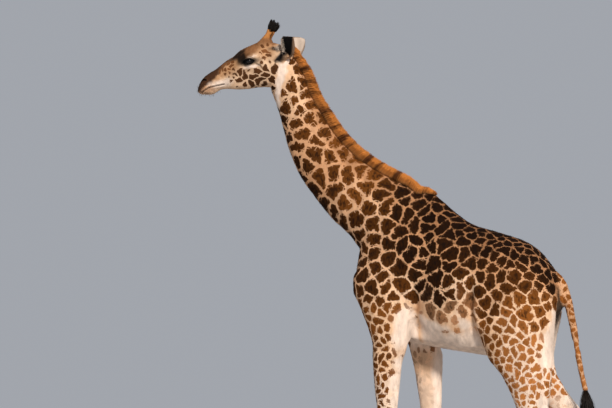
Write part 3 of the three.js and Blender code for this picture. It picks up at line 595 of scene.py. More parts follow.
def sculpt_body(points, normals):
    """Muscles and folds of the trunk and limbs, each pushed along the skin's normals."""
    place = mirrored(points)
    x, y, z = place.T
    push = np.zeros(len(points))
    for _, at, reach, out in BODY_FORMS:
        push += out * np.exp(-(((place - at) / reach) ** 2).sum(axis=1))
    outside = ramp(x, 0.10, 0.17)
    for _, line, way, reach, depth in LIMB_STEPS:
        line = np.array(line)
        over = (y - table_at(line, z)) * way
        foot, top = line[0, 0], line[-1, 0]
        ends = ramp(z, foot, foot + 0.08) * fade(z, top - 0.2, top)
        hollow = np.where(over > 0, np.exp(-over / reach), bump_at(over, 0.017))
        push -= depth * hollow * ends * outside
    trunk = ramp(y, -0.2, -0.05) * ramp(0.3 - y, 0, 0.15)
    ribs = np.sin((y + (2.0 - z) * 0.35) * 2 * math.pi / RIB_PITCH)
    push += RIB_HEIGHT * ribs * trunk * ramp(x, 0.15, 0.24) * ramp(2.3 - z, 0, 0.1)
    push += 0.0018 * waves(points, 0.22, 5)[:, 0] + 0.0009 * waves(points, 0.07, 6)[:, 0]
    face = past_poll(points, -0.05, 0.0)
    return points + normals * (push * (1 - face))[:, None]


def round_tail(points):
    """Brings the free tail back to its own thickness after the smoothing."""
    x, y, z = in_body(points).T
    middle, radius = (np.interp(z, TAIL_AXIS[::-1, 1], TAIL_AXIS[::-1, k]) for k in (0, 2))
    away = columns(x, (y - middle) * 0.98)
    wanted = (radius - settings("skin").coat_depth) / np.maximum(np.linalg.norm(away, axis=1), 0.004)
    share = (on_tail(points) * fade(z, 1.93, 2.01))[:, None]
    moved = points.copy()
    moved[:, :2] += share * (np.clip(wanted, 0.7, 1.8) - 1)[:, None] * away * np.array([0.94, 1.0])
    return moved


# The eye's opening: half length, half height and the shares of it above and below, tilt, and the lids'
# edges and folds.
LID = {"long": 0.0375, "high": 0.0175, "upper": 0.82, "lower": 1.02, "tilt": 9.0}
LID |= {"edge": 0.0022, "fold_above": 0.0115, "fold_below": 0.013}
MOUTH_LINE = [(0.404, 3.360), (0.430, 3.354), (0.465, 3.347), (0.508, 3.337), (0.536, 3.319), (0.556, 3.304)]
NOSTRIL_PATH = [(0.526, 3.388), (0.541, 3.390), (0.556, 3.382), (0.566, 3.370)]


def eye_frame(side):
    """The eye's centre, and the ways ahead, up and out of the head there."""
    out = HEAD_ACROSS * SIDES[side] + HEAD_AHEAD * 0.18 + np.array([0, 0, 0.05])
    out /= np.linalg.norm(out)
    tilt = math.radians(LID["tilt"])
    ahead = HEAD_AHEAD * math.cos(tilt) - np.array([0, 0, math.sin(tilt)])
    ahead -= out * (ahead @ out)
    ahead /= np.linalg.norm(ahead)
    up = np.cross(ahead, out) * SIDES[side]
    return EYES[side], ahead, up if up[2] > 0 else -up, out


def lid_gap(across, up):
    """How far a place in the eye's own plane lies outside the almond between the lids."""
    share = np.clip(across / LID["long"], -1, 1)
    upper = LID["high"] * LID["upper"] * (1 - np.abs(share - 0.06) ** 3.0).clip(0)
    lower = LID["high"] * LID["lower"] * (1 - np.abs(share + 0.04) ** 2.0).clip(0)
    gap = np.where(up > 0, up - upper, -up - lower)
    past_corner = np.abs(across) - LID["long"]
    return np.where(past_corner > 0, np.hypot(past_corner, up), gap * 0.92)


def carve_eye(points, side):
    """Sinks the opening to just under the eyeball and rolls the lids' edges and folds."""
    centre, ahead, up, out = eye_frame(side)
    away = points - centre
    a, b, c = away @ ahead, away @ up, away @ out
    near = (np.abs(a) < 0.07) & (np.abs(b) < 0.06) & (c > -0.01)
    a, b, c = a[near], b[near], c[near]
    gap = lid_gap(a, b)
    ball = np.sqrt(np.maximum((EYE_RADIUS - 0.004) ** 2 - a**2 - b**2, 1e-6))
    lid = np.sqrt(np.maximum((EYE_RADIUS + 0.0045) ** 2 - a**2 - b**2, 1e-6))
    inside = ramp(-gap, -0.0008, 0.0012)
    depth = np.maximum(c, lid * (np.hypot(a, b) < EYE_RADIUS))
    depth += 0.0026 * bump_at(gap - 0.0025, LID["edge"])
    depth -= 0.0034 * bump_at(gap - LID["fold_above"], 0.0022) * (b > 0)
    depth -= 0.0020 * bump_at(gap - LID["fold_below"], 0.0022) * (b <= 0)
    depth += 0.0020 * bump_at(gap - 0.017, 0.004)
    depth = between(depth, np.maximum(ball, c - 0.006), inside)
    moved = points.copy()
    moved[near] += (depth - c)[:, None] * out
    return moved


def near_grooves(points):
    """Where the mouth line and the nostrils lie, which are filled before finer ones are sculpted."""
    place = in_head(points)
    gap, _ = path_distance(place[:, 1:], MOUTH_LINE + [(0.562, 3.280)])
    nose, _ = path_distance(place[:, 1:], NOSTRIL_PATH)
    nose = np.where(np.abs(place[:, 0]) > 0.02, nose, 1.0)
    return fade(np.minimum(gap, nose), 0.006, 0.013) * past_poll(points, 0.0, 0.02)


def sculpt_head(points, normals):
    """Mouth line, lips, nostrils, cheek and brow, in the head's own side view."""
    place = in_head(points)
    side, ahead = np.abs(place[:, 0]), place[:, 1]
    flat = place[:, 1:]
    face = past_poll(points, 0.0, 0.04)
    push = np.zeros(len(points))
    gap, _ = path_distance(flat, MOUTH_LINE)
    mouth = ramp(ahead, 0.398, 0.412)
    push += (0.0030 * bump_at(gap - 0.0095, 0.0055) - 0.0050 * bump_at(gap, 0.0034)) * mouth
    gap, _ = path_distance(flat, NOSTRIL_PATH)
    nose = ramp(side, 0.026, 0.036)
    push += (0.0036 * bump_at(gap - 0.0085, 0.0045) - 0.008 * bump_at(gap, 0.0034)) * nose
    cheek_bone, _ = path_distance(flat, [(0.19, 3.470), (0.27, 3.462), (0.34, 3.440)])
    push += 0.0035 * bump_at(cheek_bone, 0.012) * ramp(side, 0.03, 0.05)
    jaw_edge, _ = path_distance(flat, [(0.10, 3.372), (0.16, 3.352), (0.30, 3.345)])
    push += 0.003 * bump_at(jaw_edge, 0.014)
    vein, _ = path_distance(flat, [(0.27, 3.50), (0.32, 3.44), (0.36, 3.41), (0.40, 3.395)])
    push += 0.0016 * bump_at(vein, 0.004) * ramp(side, 0.03, 0.05)
    push += 0.0010 * waves(points, 0.05, 8)[:, 0] * ramp(0.30 - ahead, -0.1, 0.1)
    push += 0.0005 * waves(points, 0.018, 9)[:, 0] * ramp(ahead, 0.40, 0.46)
    return points + normals * (push * face)[:, None]


def from_eyes(points):
    """How far points lie from the nearer eye's centre."""
    return np.minimum(*(np.linalg.norm(points - EYES[side], axis=1) for side in SIDES))


def fine_face(points):
    """Where the face's small folds need every vertex: the eyes, the lips and the nostrils."""
    place = in_head(points)
    gap, _ = path_distance(place[:, 1:], MOUTH_LINE)
    nose, _ = path_distance(place[:, 1:], NOSTRIL_PATH)
    close = np.maximum(fade(from_eyes(points), 0.045, 0.055), fade(np.minimum(gap, nose), 0.010, 0.016))
    return close * past_poll(points, 0.0, 0.02)


def refined(obj, chosen):
    """Halves the edges between chosen vertices, for folds finer than the voxels."""
    with opened(obj.data) as work:
        edges = [edge for edge in work.edges if all(chosen[vert.index] for vert in edge.verts)]
        bmesh.ops.subdivide_edges(work, edges=edges, cuts=1, use_grid_fill=True)
        triangulate_large(work)


def on_upper_ears(points):
    return np.maximum(*(ramp(ear_place(points, side)[0], 0.15, 0.3) for side in SIDES))


LIMB_SEAMS = (1.645, 1.640)  # the heights where the solids of the limbs meet the trunk
GROOVE_CORE = 0.96  # from this share of near_grooves the mesh is made finer


def shaped_skin():
    """The smoothed, sculpted skin, thinned to its share of triangles with most kept on the head."""
    skin = rough_skin()
    keep_largest(skin)
    mesh = skin.data
    points, edges = points_of(mesh), edges_of(mesh)
    upper = past_poll(points, SEAM_SHIFT - 0.02, SEAM_SHIFT + 0.03)
    share = (1 - upper * 0.65) * (1 - 0.5 * on_upper_ears(points) * upper) * (1 - 0.8 * on_tail(points))
    points = smoothed(points, edges, 7, share)
    seam = bump_at(beyond(points, POLL_PLANE) - SEAM_SHIFT, 0.03)
    points = smoothed(points, edges, 12, seam, keep_volume=False)
    for height in LIMB_SEAMS:
        band = bump_at(points[:, 2] - height, 0.06) * (in_body(points)[:, 1] > -1)
        points = smoothed(points, edges, 10, band, keep_volume=False)
    points = smoothed(points, edges, 14, near_grooves(points), keep_volume=False)
    set_points(mesh, points)
    refined(skin, near_grooves(points) > GROOVE_CORE)
    points, edges = points_of(mesh), edges_of(mesh)
    points = smoothed(points, edges, 4, near_grooves(points), keep_volume=False)
    set_points(mesh, points)
    upper = past_poll(points, SEAM_SHIFT - 0.02, SEAM_SHIFT + 0.03)
    points = smoothed(sculpt_body(points, normals_of(mesh)), edges, 3, 1 - upper)
    set_points(mesh, points)
    points = sculpt_head(points, normals_of(mesh))
    for side in SIDES:
        points = carve_eye(points, side)
    set_points(mesh, points)
    thick = 1 - on_upper_ears(points) * upper
    points = points - normals_of(mesh) * (settings("skin").coat_depth * thick)[:, None]
    points = round_tail(smoothed(points, edges, 1))
    points = inside_box(widened_ears(points))
    set_points(mesh, points)
    group = skin.vertex_groups.new(name="thin")
    measure_legs(points)
    plain = ramp(body_hide(points)[5], 0.93, 1.0)
    coarse = 1 - fine_face(points)
    share = np.round(np.maximum(upper * 0.7 * coarse, plain) * coarse, 1)
    for level in np.unique(share):
        group.add(np.nonzero(share == level)[0].tolist(), float(level), "REPLACE")
    ratio = settings("skin").triangles / sum(len(face.vertices) - 2 for face in mesh.polygons)
    thin = {"vertex_group": "thin", "vertex_group_factor": 100.0}
    apply_modifier(skin, "DECIMATE", ratio=ratio, use_collapse_triangulate=True, **thin)
    skin.vertex_groups.clear()
    return skin


# ---------------- the markings of the hide

# The hide's chart: y and z on the body's side, patch tone (0 to 1.25), ground tone (0 to 1), the
# patches' pitch and the pale line's width in metres, and how much the patches' edges are notched.
HIDE_ROWS = [
    [-1.24, 3.30, 0.46, 0.60, 0.075, 0.020, 0.9],
    [-1.10, 2.95, 0.48, 0.40, 0.095, 0.022, 1.0],
    [-0.92, 2.75, 0.50, 0.36, 0.110, 0.024, 1.0],
    [-0.74, 2.60, 0.60, 0.46, 0.110, 0.024, 1.0],
    # The chest's front: its patches are set darker here as painted shade.
    [-0.66, 2.17, 0.38, 0.45, 0.085, 0.014, 0.6],
    [-0.53, 2.46, 0.52, 0.50, 0.105, 0.018, 0.8],
    [-0.31, 2.51, 0.20, 0.20, 0.085, 0.009, 0.6],
    [-0.13, 2.49, 0.02, 0.10, 0.070, 0.007, 0.5],
    [-0.29, 2.23, 0.22, 0.38, 0.092, 0.011, 0.6],
    [-0.44, 2.06, 0.48, 0.55, 0.090, 0.013, 0.6],
    [-0.31, 1.99, 0.58, 0.72, 0.085, 0.017, 0.5],
    [-0.44, 1.82, 0.66, 0.62, 0.058, 0.013, 0.4],
    [-0.11, 2.11, 0.22, 0.40, 0.110, 0.010, 0.7],
    [0.06, 2.23, 0.24, 0.26, 0.095, 0.008, 0.6],
    [-0.03, 1.91, 0.26, 0.60, 0.085, 0.013, 0.7],
    [0.12, 2.01, 0.55, 0.72, 0.100, 0.015, 0.6],
    [0.05, 2.42, 0.02, 0.06, 0.070, 0.006, 0.4],
    [0.26, 2.31, 0.06, 0.08, 0.065, 0.006, 0.4],
    [0.46, 2.28, 0.10, 0.14, 0.065, 0.007, 0.4],
    [0.33, 2.15, 0.34, 0.28, 0.085, 0.008, 0.5],
    [0.45, 2.06, 0.50, 0.42, 0.088, 0.010, 0.5],
    [0.60, 2.10, 0.42, 0.36, 0.070, 0.008, 0.4],
    [0.55, 1.91, 0.72, 0.66, 0.085, 0.013, 0.4],
    [0.29, 1.91, 0.50, 0.50, 0.075, 0.013, 0.5],
    [0.45, 1.79, 0.84, 0.76, 0.068, 0.014, 0.4],
    [0.26, 1.73, 0.60, 0.58, 0.055, 0.013, 0.4],
    [0.51, 1.62, 0.88, 0.84, 0.055, 0.014, 0.4],
    [0.58, 1.37, 0.92, 0.92, 0.047, 0.013, 0.4],
    [0.58, 0.95, 0.90, 0.95, 0.044, 0.012, 0.4],
    [0.58, 0.50, 0.95, 0.97, 0.040, 0.012, 0.3],
    [-0.43, 1.60, 0.60, 0.66, 0.050, 0.012, 0.4],
    [-0.43, 1.30, 0.60, 0.84, 0.045, 0.012, 0.4],
    [-0.43, 0.90, 0.76, 0.92, 0.042, 0.012, 0.4],
    [-0.43, 0.50, 0.90, 0.97, 0.038, 0.012, 0.3],
]
HIDE_CHART = np.array(HIDE_ROWS)


def toned(names, value, whole):
    """Colours by a tone number along a row of named ones, where `whole` is one over the step between two."""
    tones = np.array([tuple(getattr(settings("colours"), name)) for name in names])
    place = np.clip(np.clip(value, 0, None) * whole, 0, len(tones) - 1.001)
    low = place.astype(int)
    return mixed(tones[low], tones[low + 1], place - low)


def charted(points):
    """The hide chart's five values at places on the skin, blended from its nearest rows."""
    flat = in_body(points)[:, 1:]
    away = ((flat[:, None, :] - HIDE_CHART[None, :, :2]) ** 2).sum(axis=2)
    weight = 1 / (away + 0.0008) ** 2
    weight /= weight.sum(axis=1, keepdims=True)
    return weight @ HIDE_CHART[:, 2:]


def table_at(table, key):
    return np.interp(key, table[:, 0], table[:, 1])


def shares_along(path):
    """How far along a path its corners lie, from 0 to 1."""
    marks = np.concatenate([[0], np.cumsum(np.linalg.norm(np.diff(path, axis=0), axis=1))])
    return marks / marks[-1]


def neck_place(points):
    """Along the neck from the trunk (0) to the poll (1), and the height over its axis towards the mane."""
    flat = in_body(points)[:, 1:]
    _, along = path_distance(flat, NECK_AXIS)
    steps, marks = np.diff(NECK_AXIS, axis=0), shares_along(NECK_AXIS)
    index = np.clip(np.searchsorted(marks, along) - 1, 0, len(steps) - 1)
    across = unit(columns(-steps[index, 1], steps[index, 0]))
    share = (along - marks[index]) / (marks[index + 1] - marks[index])
    foot = NECK_AXIS[index] + steps[index] * share[:, None]
    over = ((flat - foot) * across).sum(axis=1)
    return along, -over


LEG_TOP, LEG_LEVELS = 1.6, 32  # how high the legs are measured, in how many levels
LEG_LEVEL = 0.05
LEG_EXTENTS = {}


def own_leg(place, rear, side):
    return ((place[:, 1] > 0.0) == rear) & (place[:, 0] * side > 0)


def leg_share(points):
    """From the front (0) to the rear (1) of a point's own leg, and how far inside the leg it lies."""
    place = in_body(points)
    share = np.full(len(points), 0.5)
    inner = np.zeros(len(points))
    bins = np.clip((place[:, 2] / LEG_LEVEL).astype(int), 0, LEG_LEVELS - 1)
    for (rear, side), rows in LEG_EXTENTS.items():
        own = (place[:, 2] < LEG_TOP) & own_leg(place, rear, side)
        for level, (front, back, middle) in enumerate(rows):
            chosen = own & (bins == level)
            if chosen.sum() < 3:
                continue
            deep = max(back - front, 0.03)
            share[chosen] = (place[chosen, 1] - front) / deep
            inner[chosen] = (middle - place[chosen, 0] * side) / (deep * 0.5)
    return share, inner


def measure_legs(points):
    """The front, rear and middle of each leg by height, from the skin itself."""
    place = in_body(points)
    for rear in (False, True):
        for side in SIDES.values():
            rows = np.zeros((LEG_LEVELS, 3))
            for level, row in enumerate(rows):
                low = level * LEG_LEVEL
                chosen = own_leg(place, rear, side) & (place[:, 2] >= low) & (place[:, 2] < low + LEG_LEVEL)
                ys, xs = place[chosen, 1], place[chosen, 0] * side
                row[:] = (ys.min(), ys.max(), (xs.min() + xs.max()) / 2) if chosen.any() else (0, 1, 0)
            LEG_EXTENTS[(rear, side)] = rows


def body_hide(points):
    """Patch tone, ground tone, pitch, line and notching on the body, and how far patches shrink and pale."""
    x, y, z = mirrored(points).T
    spot, ground, pitch, line, lobe = charted(points).T
    ragged = waves(points, 0.11, 21)[:, 0]
    trunk = ramp(y, -0.27, -0.20) * ramp(0.24 - y, 0, 0.06)
    belly = fade(z + 0.045 * ragged + 0.035 * waves(points, 0.30, 22)[:, 0], 1.70, 1.84)
    axilla = ramp(-0.02 - y, 0.0, 0.2) * fade(z + 0.02 * ragged, 1.80, 1.90)
    shrink = np.clip(belly + axilla, 0, 1) * trunk
    fading = trunk * fade(z + 0.05 * ragged, 1.78, 1.98)
    # Painted shade: the ground is darkened in the hollow behind the upper arm.
    hollow = bump_at(y + 0.215, 0.045) * fade(z, 1.86, 2.02) * ramp(z, 1.62, 1.72)
    ground = ground - 0.30 * hollow
    # Painted shade: the patches are darkened in the creases behind the arm and before the thigh.
    crease_shade = bump_at(y + 0.205, 0.050) * ramp(z, 1.72, 1.82) * fade(z, 2.02, 2.16)
    crease_shade += bump_at(y - 0.175, 0.030) * ramp(z, 1.68, 1.76) * fade(z, 1.95, 2.06)
    spot = spot - 0.28 * crease_shade * ramp(x, 0.08, 0.16) * (1 - fading)
    under = fade(x, 0.05, 0.12) * fade(z, 1.66, 1.78)
    shrink = np.maximum(shrink, under * ramp(y, -0.5, -0.35) * ramp(0.75 - y, 0, 0.05))
    fore_gap = table_at(FORE_REAR, z) - y + 0.012 * ragged
    fore_upper = ramp(z, 1.56, 1.66) * fade(z + 0.02 * ragged, 1.84, 1.90) * ramp(-0.24 - y, 0.0, 0.02)
    shrink = np.maximum(shrink, fore_upper * fade(fore_gap, 0.07, 0.11) * ramp(y + 0.5, 0, 0.05))
    on_left = in_body(points)[:, 0] > 0
    hind_gap = np.where(on_left, table_at(HIND_REAR, z), table_at(HIND_REAR_RIGHT, z)) - y + 0.010 * ragged
    hind_upper = ramp(z, 1.46, 1.53) * fade(z, 1.84, 1.94) * ramp(y, 0.45, 0.5) * (1 - on_tail(points))
    reach = 0.018 + 0.062 * fade(z, 1.58, 1.84)
    shrink = np.maximum(shrink, hind_upper * fade(hind_gap, reach * 0.5, reach))
    share, inner = leg_share(points)
    share = share + 0.04 * ragged
    lower = fade(z, 1.52, 1.64)
    strip = np.where(y > 0, ramp(share, 0.74, 0.90), ramp(share, 0.70, 0.92))
    shrink = np.maximum(shrink, lower * strip)
    ground = ground + (1 - ground) * shrink
    low = fade(z, 0.12, 0.60)
    shrink = np.maximum(shrink, 0.95 * low)
    inside = lower * ramp(inner, 0.1, 0.5)
    pale = np.maximum(np.maximum(0.82 * inside, 0.45 * shrink), np.maximum(0.75 * low, 0.22 * fading))
    spot = spot + 0.50 * fading
    shrink = np.maximum(shrink, 0.25 * inside)
    depth = table_at(BACK_LINE, y) - z
    back = fade(depth, 0.02, 0.14) * ramp(y, -0.35, -0.15) * (1 - on_tail(points))
    spot = spot * (1 - 0.8 * back)
    ground = ground * (1 - 0.6 * back)
    neck = ramp(beyond(points, NECK_BASE_PLANE), -0.05, 0.10)
    along, over = neck_place(points)
    front = fade(over, -0.19 + 0.09 * along, -0.10 + 0.06 * along)
    spot = spot - 0.20 * neck * front
    spot = spot + 0.08 * neck * ramp(z, 2.6, 2.9) * (1 - front)
    crest = ramp(over, 0.10 - 0.03 * along, 0.15 - 0.03 * along) * neck
    ground = ground * (1 - 0.45 * crest)
    tail = on_tail(points)
    spot, ground = between(spot, 0.72 + 0.12 * ramp(2.0 - z, 0, 0.5), tail), between(ground, 0.42, tail)
    pitch, line = between(pitch, 0.042, tail), between(line, 0.010, tail)
    shrink, pale = shrink * (1 - tail), pale * (1 - tail)
    return spot, ground, pitch, line, lobe, shrink, pale


def dark_skin_and_shade_under_tail(points):
    """Whether places lie under the tail's root on the bare dark skin between the thighs, widened by painted
    shade over the inner thighs.
    """
    across, y, z = in_body(points).T
    # The right side reaches further, as painted shade on the inner side of the right thigh.
    reach = np.where(across > 0, 0.085, 0.115) + 0.010 * waves(points, 0.05, 24)[:, 0]
    share = fade(np.abs(across), reach * 0.6, reach) * ramp(y, 0.42, 0.50)
    return share * ramp(z, 1.52, 1.64) * fade(z, 2.00, 2.05) * (1 - on_tail(points))


def on_tail(points):
    """Whether places lie on the free tail, behind the thighs."""
    x, y, z = mirrored(points).T
    edge = table_at(TAIL_FRONT, z)
    return ramp(y - edge, -0.012, 0.004) * (x < 0.075) * (z > 1.2)


def on_ears(points, start=0.15):
    """Whether places lie on either ear, from a share of its length upward."""
    found = np.zeros(len(points))
    for side in SIDES:
        share, wide, out = ear_place(points, side)
        near = (share < 1.2) * (np.abs(wide) < 0.09) * (out > -0.05) * (out < 0.07)
        found = np.maximum(found, ramp(share, start, start + 0.12) * near)
    return found


def on_cups(points):
    """Whether places lie in the hollow of either ear, down to the notch under it."""
    found = np.zeros(len(points))
    for side in SIDES:
        share, wide, out = ear_place(points, side)
        half, middle = ear_shape(share)
        aside = np.abs(wide - middle) / half
        near = (share < 1.2) * (out > -0.012) * (out < 0.07)
        found = np.maximum(found, ramp(share, -0.17, -0.07) * near * fade(aside, 1.0, 1.25))
    return found


def on_head(points):
    return np.maximum(past_poll(points, -0.03, 0.03), on_ears(points))


def oval(flat, centre, reach, turn=0.0):
    """A soft oval mask in the head's side view: centre and reach ahead and up, turned by degrees."""
    away = flat - np.array(centre)
    c, s = math.cos(math.radians(turn)), math.sin(math.radians(turn))
    a = away[:, 0] * c + away[:, 1] * s
    b = -away[:, 0] * s + away[:, 1] * c
    return fade(np.sqrt((a / reach[0]) ** 2 + (b / reach[1]) ** 2), 0.45, 1.35)


def face_colours():
    """The head's colours by name, each as one row."""
    chosen = settings("colours")
    return {name: np.array([tuple(getattr(chosen, name))]) for name in FACE_ROW}


# Soft ovals painted on the face in this order: colour, middle and reach (ahead and up), turn, strength.
FACE_PATCHES = [
    ("tan", (0.115, 3.575), (0.065, 0.058), 0, 0.85),
    ("tan", (0.350, 3.452), (0.080, 0.038), -28, 0.65),
    ("white", (0.428, 3.362), (0.086, 0.029), -14, 0.9),
    ("lip", (0.520, 3.316), (0.066, 0.028), -22, 0.8),
    ("bridge", (0.574, 3.352), (0.024, 0.045), -15, 0.9),
    ("forehead", (0.235, 3.455), (0.060, 0.020), -10, 0.25),
    ("white", (0.212, 3.478), (0.058, 0.014), -6, 0.85),
    ("white", (0.200, 3.545), (0.036, 0.008), -14, 0.5),
    ("dark", (0.312, 3.556), (0.066, 0.030), -38, 0.95),
    ("dark", (0.282, 3.532), (0.050, 0.028), -24, 0.97),
    ("dark", (0.165, 3.492), (0.026, 0.006), 40, 0.85),
    ("streak", (0.140, 3.478), (0.016, 0.007), 30, 0.8),
    ("dark", (0.058, 3.596), (0.034, 0.018), 8, 0.95),
    ("dark", (0.046, 3.512), (0.014, 0.012), 0, 0.85),
    ("streak", (0.052, 3.528), (0.024, 0.016), -40, 0.5),
]
# The line of the head's top, ahead and up.
HEAD_TOP = np.array(
    [[0.0, 3.66], [0.12, 3.66], [0.2, 3.61], [0.3, 3.56], [0.4, 3.49], [0.5, 3.42], [0.58, 3.36]]
)
EAR_ROOT = np.array([0.066, 0.004, 3.528])
# By share of an ear's length, in millimetres: half its width, and how far its middle lies ahead
# of the root's line.
EAR_HALF = np.array([[0, 23], [0.12, 30], [0.33, 45], [0.5, 54], [0.67, 57], [0.8, 45], [0.9, 28], [1, 6]])
EAR_BULGE = np.array([[0, 1], [0.12, -2], [0.33, -7], [0.5, 3], [0.67, 15], [0.8, 14], [0.9, 8], [1, 1]])
EAR_AIMS = {"left": (0.085, -0.078, 0.138), "right": (0.085, -0.106, 0.131)}
EAR_FACING = np.array([0.94, 0.34, -0.05])


def ear_shape(share):
    """Half an ear's width, and how far its middle lies forward, at shares of its length."""
    return table_at(EAR_HALF, share) / 1000, table_at(EAR_BULGE, share) / 1000


def ear_place(points, side):
    """Along an ear from root to tip as a share, and in metres forward across it and out of its cup."""
    place = in_head(points) * np.array([SIDES[side], 1, 1]) - EAR_ROOT
    aim = np.array(EAR_AIMS[side])
    length = np.linalg.norm(aim)
    aim = aim / length
    face = EAR_FACING - aim * (EAR_FACING @ aim)
    face /= np.linalg.norm(face)
    wide = np.cross(aim, face)
    wide *= np.sign(wide[1])
    return place @ aim / length, place @ wide, place @ face


def ear_axes(side):
    """The ways along, forward across and out of an ear's cup, in the world."""
    aim = unit(np.array([EAR_AIMS[side]]))[0]
    face = EAR_FACING - aim * (EAR_FACING @ aim)
    face /= np.linalg.norm(face)
    wide = np.cross(aim, face)
    wide *= np.sign(wide[1])
    to_world = np.stack([HEAD_ACROSS * SIDES[side], HEAD_AHEAD, [0, 0, 1.0]])
    return aim @ to_world, wide @ to_world, face @ to_world


def paint_ears(points, normals, face):
    """Pale backs with thin brown rims, and dark cups with a white front edge."""
    colour = face_colours()
    for side in SIDES:
        share, wide, out = ear_place(points, side)
        half, middle = ear_shape(share)
        facing = normals @ ear_axes(side)[2]
        hollow = (out > -0.020) & (facing > -0.55)
        start = np.where(hollow, -0.17, 0.12)
        on_ear = ramp(share, start, start + 0.10) * (share < 1.2) * (out > -0.05) * (out < 0.07)
        on_ear = on_ear * fade(np.abs(wide - middle) / half, 1.15, 1.40)
        rim = ramp(np.abs(wide - middle) / half, 0.76, 0.98)
        inside = np.maximum(ramp(facing, -0.25, 0.15), ramp(0.32 - share, 0, 0.08) * hollow)
        back = mixed(np.repeat(colour["ear_back"], len(points), axis=0), colour["ear_rim"], rim * 0.8)
        ahead = (wide - middle) / half
        front_edge = ramp(ahead, 0.86, 0.98) * fade(share, 0.60, 0.80) * ramp(share, 0.1, 0.2)
        cup = mixed(np.repeat(colour["black"], len(points), axis=0), colour["white"], front_edge * 0.9)
        cup = mixed(cup, colour["ear_rim"], ramp(-(wide - middle) / half, 0.55, 0.85) * 0.8)
        face = mixed(face, mixed(back, cup, inside), on_ear)
    return face


def head_hide(points, normals):
    """The face's ground colour, spot colour and shrinking, pitch and line."""
    place = in_head(points)
    side, ahead, up = np.abs(place[:, 0]), place[:, 1], place[:, 2]
    flat = place[:, 1:] + 0.005 * waves(points, 0.045, 31)[:, :2]
    colour = face_colours()
    count = len(points)
    face = np.repeat(colour["cream"], count, axis=0)
    below_top = table_at(HEAD_TOP, ahead) - up + 0.006 * waves(points, 0.03, 35)[:, 0]
    forehead = fade(ahead, 0.30, 0.38) * ramp(0.085 - below_top, 0, 0.05)
    forehead *= ramp(ahead + 0.8 * (0.05 - below_top).clip(0), 0.03, 0.09)
    face = mixed(face, colour["forehead"], forehead)
    nose = ramp(ahead, 0.26, 0.33)
    face = mixed(face, colour["tan"], nose * ramp(0.095 - below_top, 0, 0.04) * 0.9)
    bridge = ramp(ahead, 0.38, 0.46) * ramp(0.066 - below_top - 0.02 * fade(ahead, 0.42, 0.5), 0, 0.022)
    face = mixed(face, colour["bridge"], bridge)
    ridge = fade(below_top, 0.004, 0.018) * ramp(ahead, 0.26, 0.32)
    face = mixed(face, colour["bridge"], 0.75 * ridge)
    for name, centre, reach, turn, strength in FACE_PATCHES:
        share = oval(flat, centre, reach, turn) * strength * ramp(side, 0.012, 0.030)
        face = mixed(face, colour[name], share)
    # Painted shade: the nostrils are painted black along their grooves, where the openings lie.
    gap, _ = path_distance(place[:, 1:], NOSTRIL_PATH)
    face = mixed(face, colour["black"], fade(gap, 0.0025, 0.0065) * ramp(side, 0.022, 0.030))
    # Painted shade: the mouth line is painted dark along its groove.
    gap, _ = path_distance(place[:, 1:], MOUTH_LINE)
    face = mixed(face, colour["dark"], fade(gap, 0.0012, 0.0045) * 0.85)
    for eye in SIDES:
        centre, way_ahead, way_up, out = eye_frame(eye)
        away = points - centre
        gap = lid_gap(away @ way_ahead, away @ way_up)
        rim = fade(gap, 0.0045, 0.0085) * (away @ out > 0)
        face = mixed(face, colour["black"], rim)
        corners = oval(columns(away @ way_ahead, away @ way_up), (0.006, -0.001), (0.086, 0.026), 0)
        face = mixed(face, colour["black"], corners * (away @ out > -0.03) * 0.97)
    horn = ramp(up, 3.650, 3.68) * (side < 0.12) * ramp(ahead, 0.0, 0.03)
    face = mixed(face, colour["horn_hair"], horn)
    spots = oval(flat, (0.195, 3.425), (0.215, 0.092), -4) * ramp(below_top, 0.05, 0.09)
    temple = oval(flat, (0.125, 3.560), (0.042, 0.080), 0) * 0.95
    streaks = oval(flat, (0.385, 3.475), (0.085, 0.044), -40) * 0.95
    strength = np.clip(np.maximum(np.maximum(spots, temple), streaks), 0, 1)
    strength *= 1 - oval(flat, (0.232, 3.500), (0.084, 0.050), -8)
    tone = np.repeat(colour["streak"] * 0.65, count, axis=0)
    tone = mixed(tone, colour["streak"] * 1.2, np.maximum(temple, streaks))
    if normals is not None:
        face = paint_ears(points, normals, face)
    small = np.maximum(temple, ramp(ahead, 0.26, 0.36))
    pitch = 0.052 - 0.027 * small
    line = 0.011 - 0.004 * small
    return face, tone, 1 - strength, pitch, line


LINE_SHARE = 0.36  # how much of a pale line's charted width lies on each side of a border
JAW_BAND = [(-0.010, 3.555), (0.000, 3.500), (0.008, 3.440), (0.032, 3.345), (0.040, 3.280), (0.034, 3.200)]


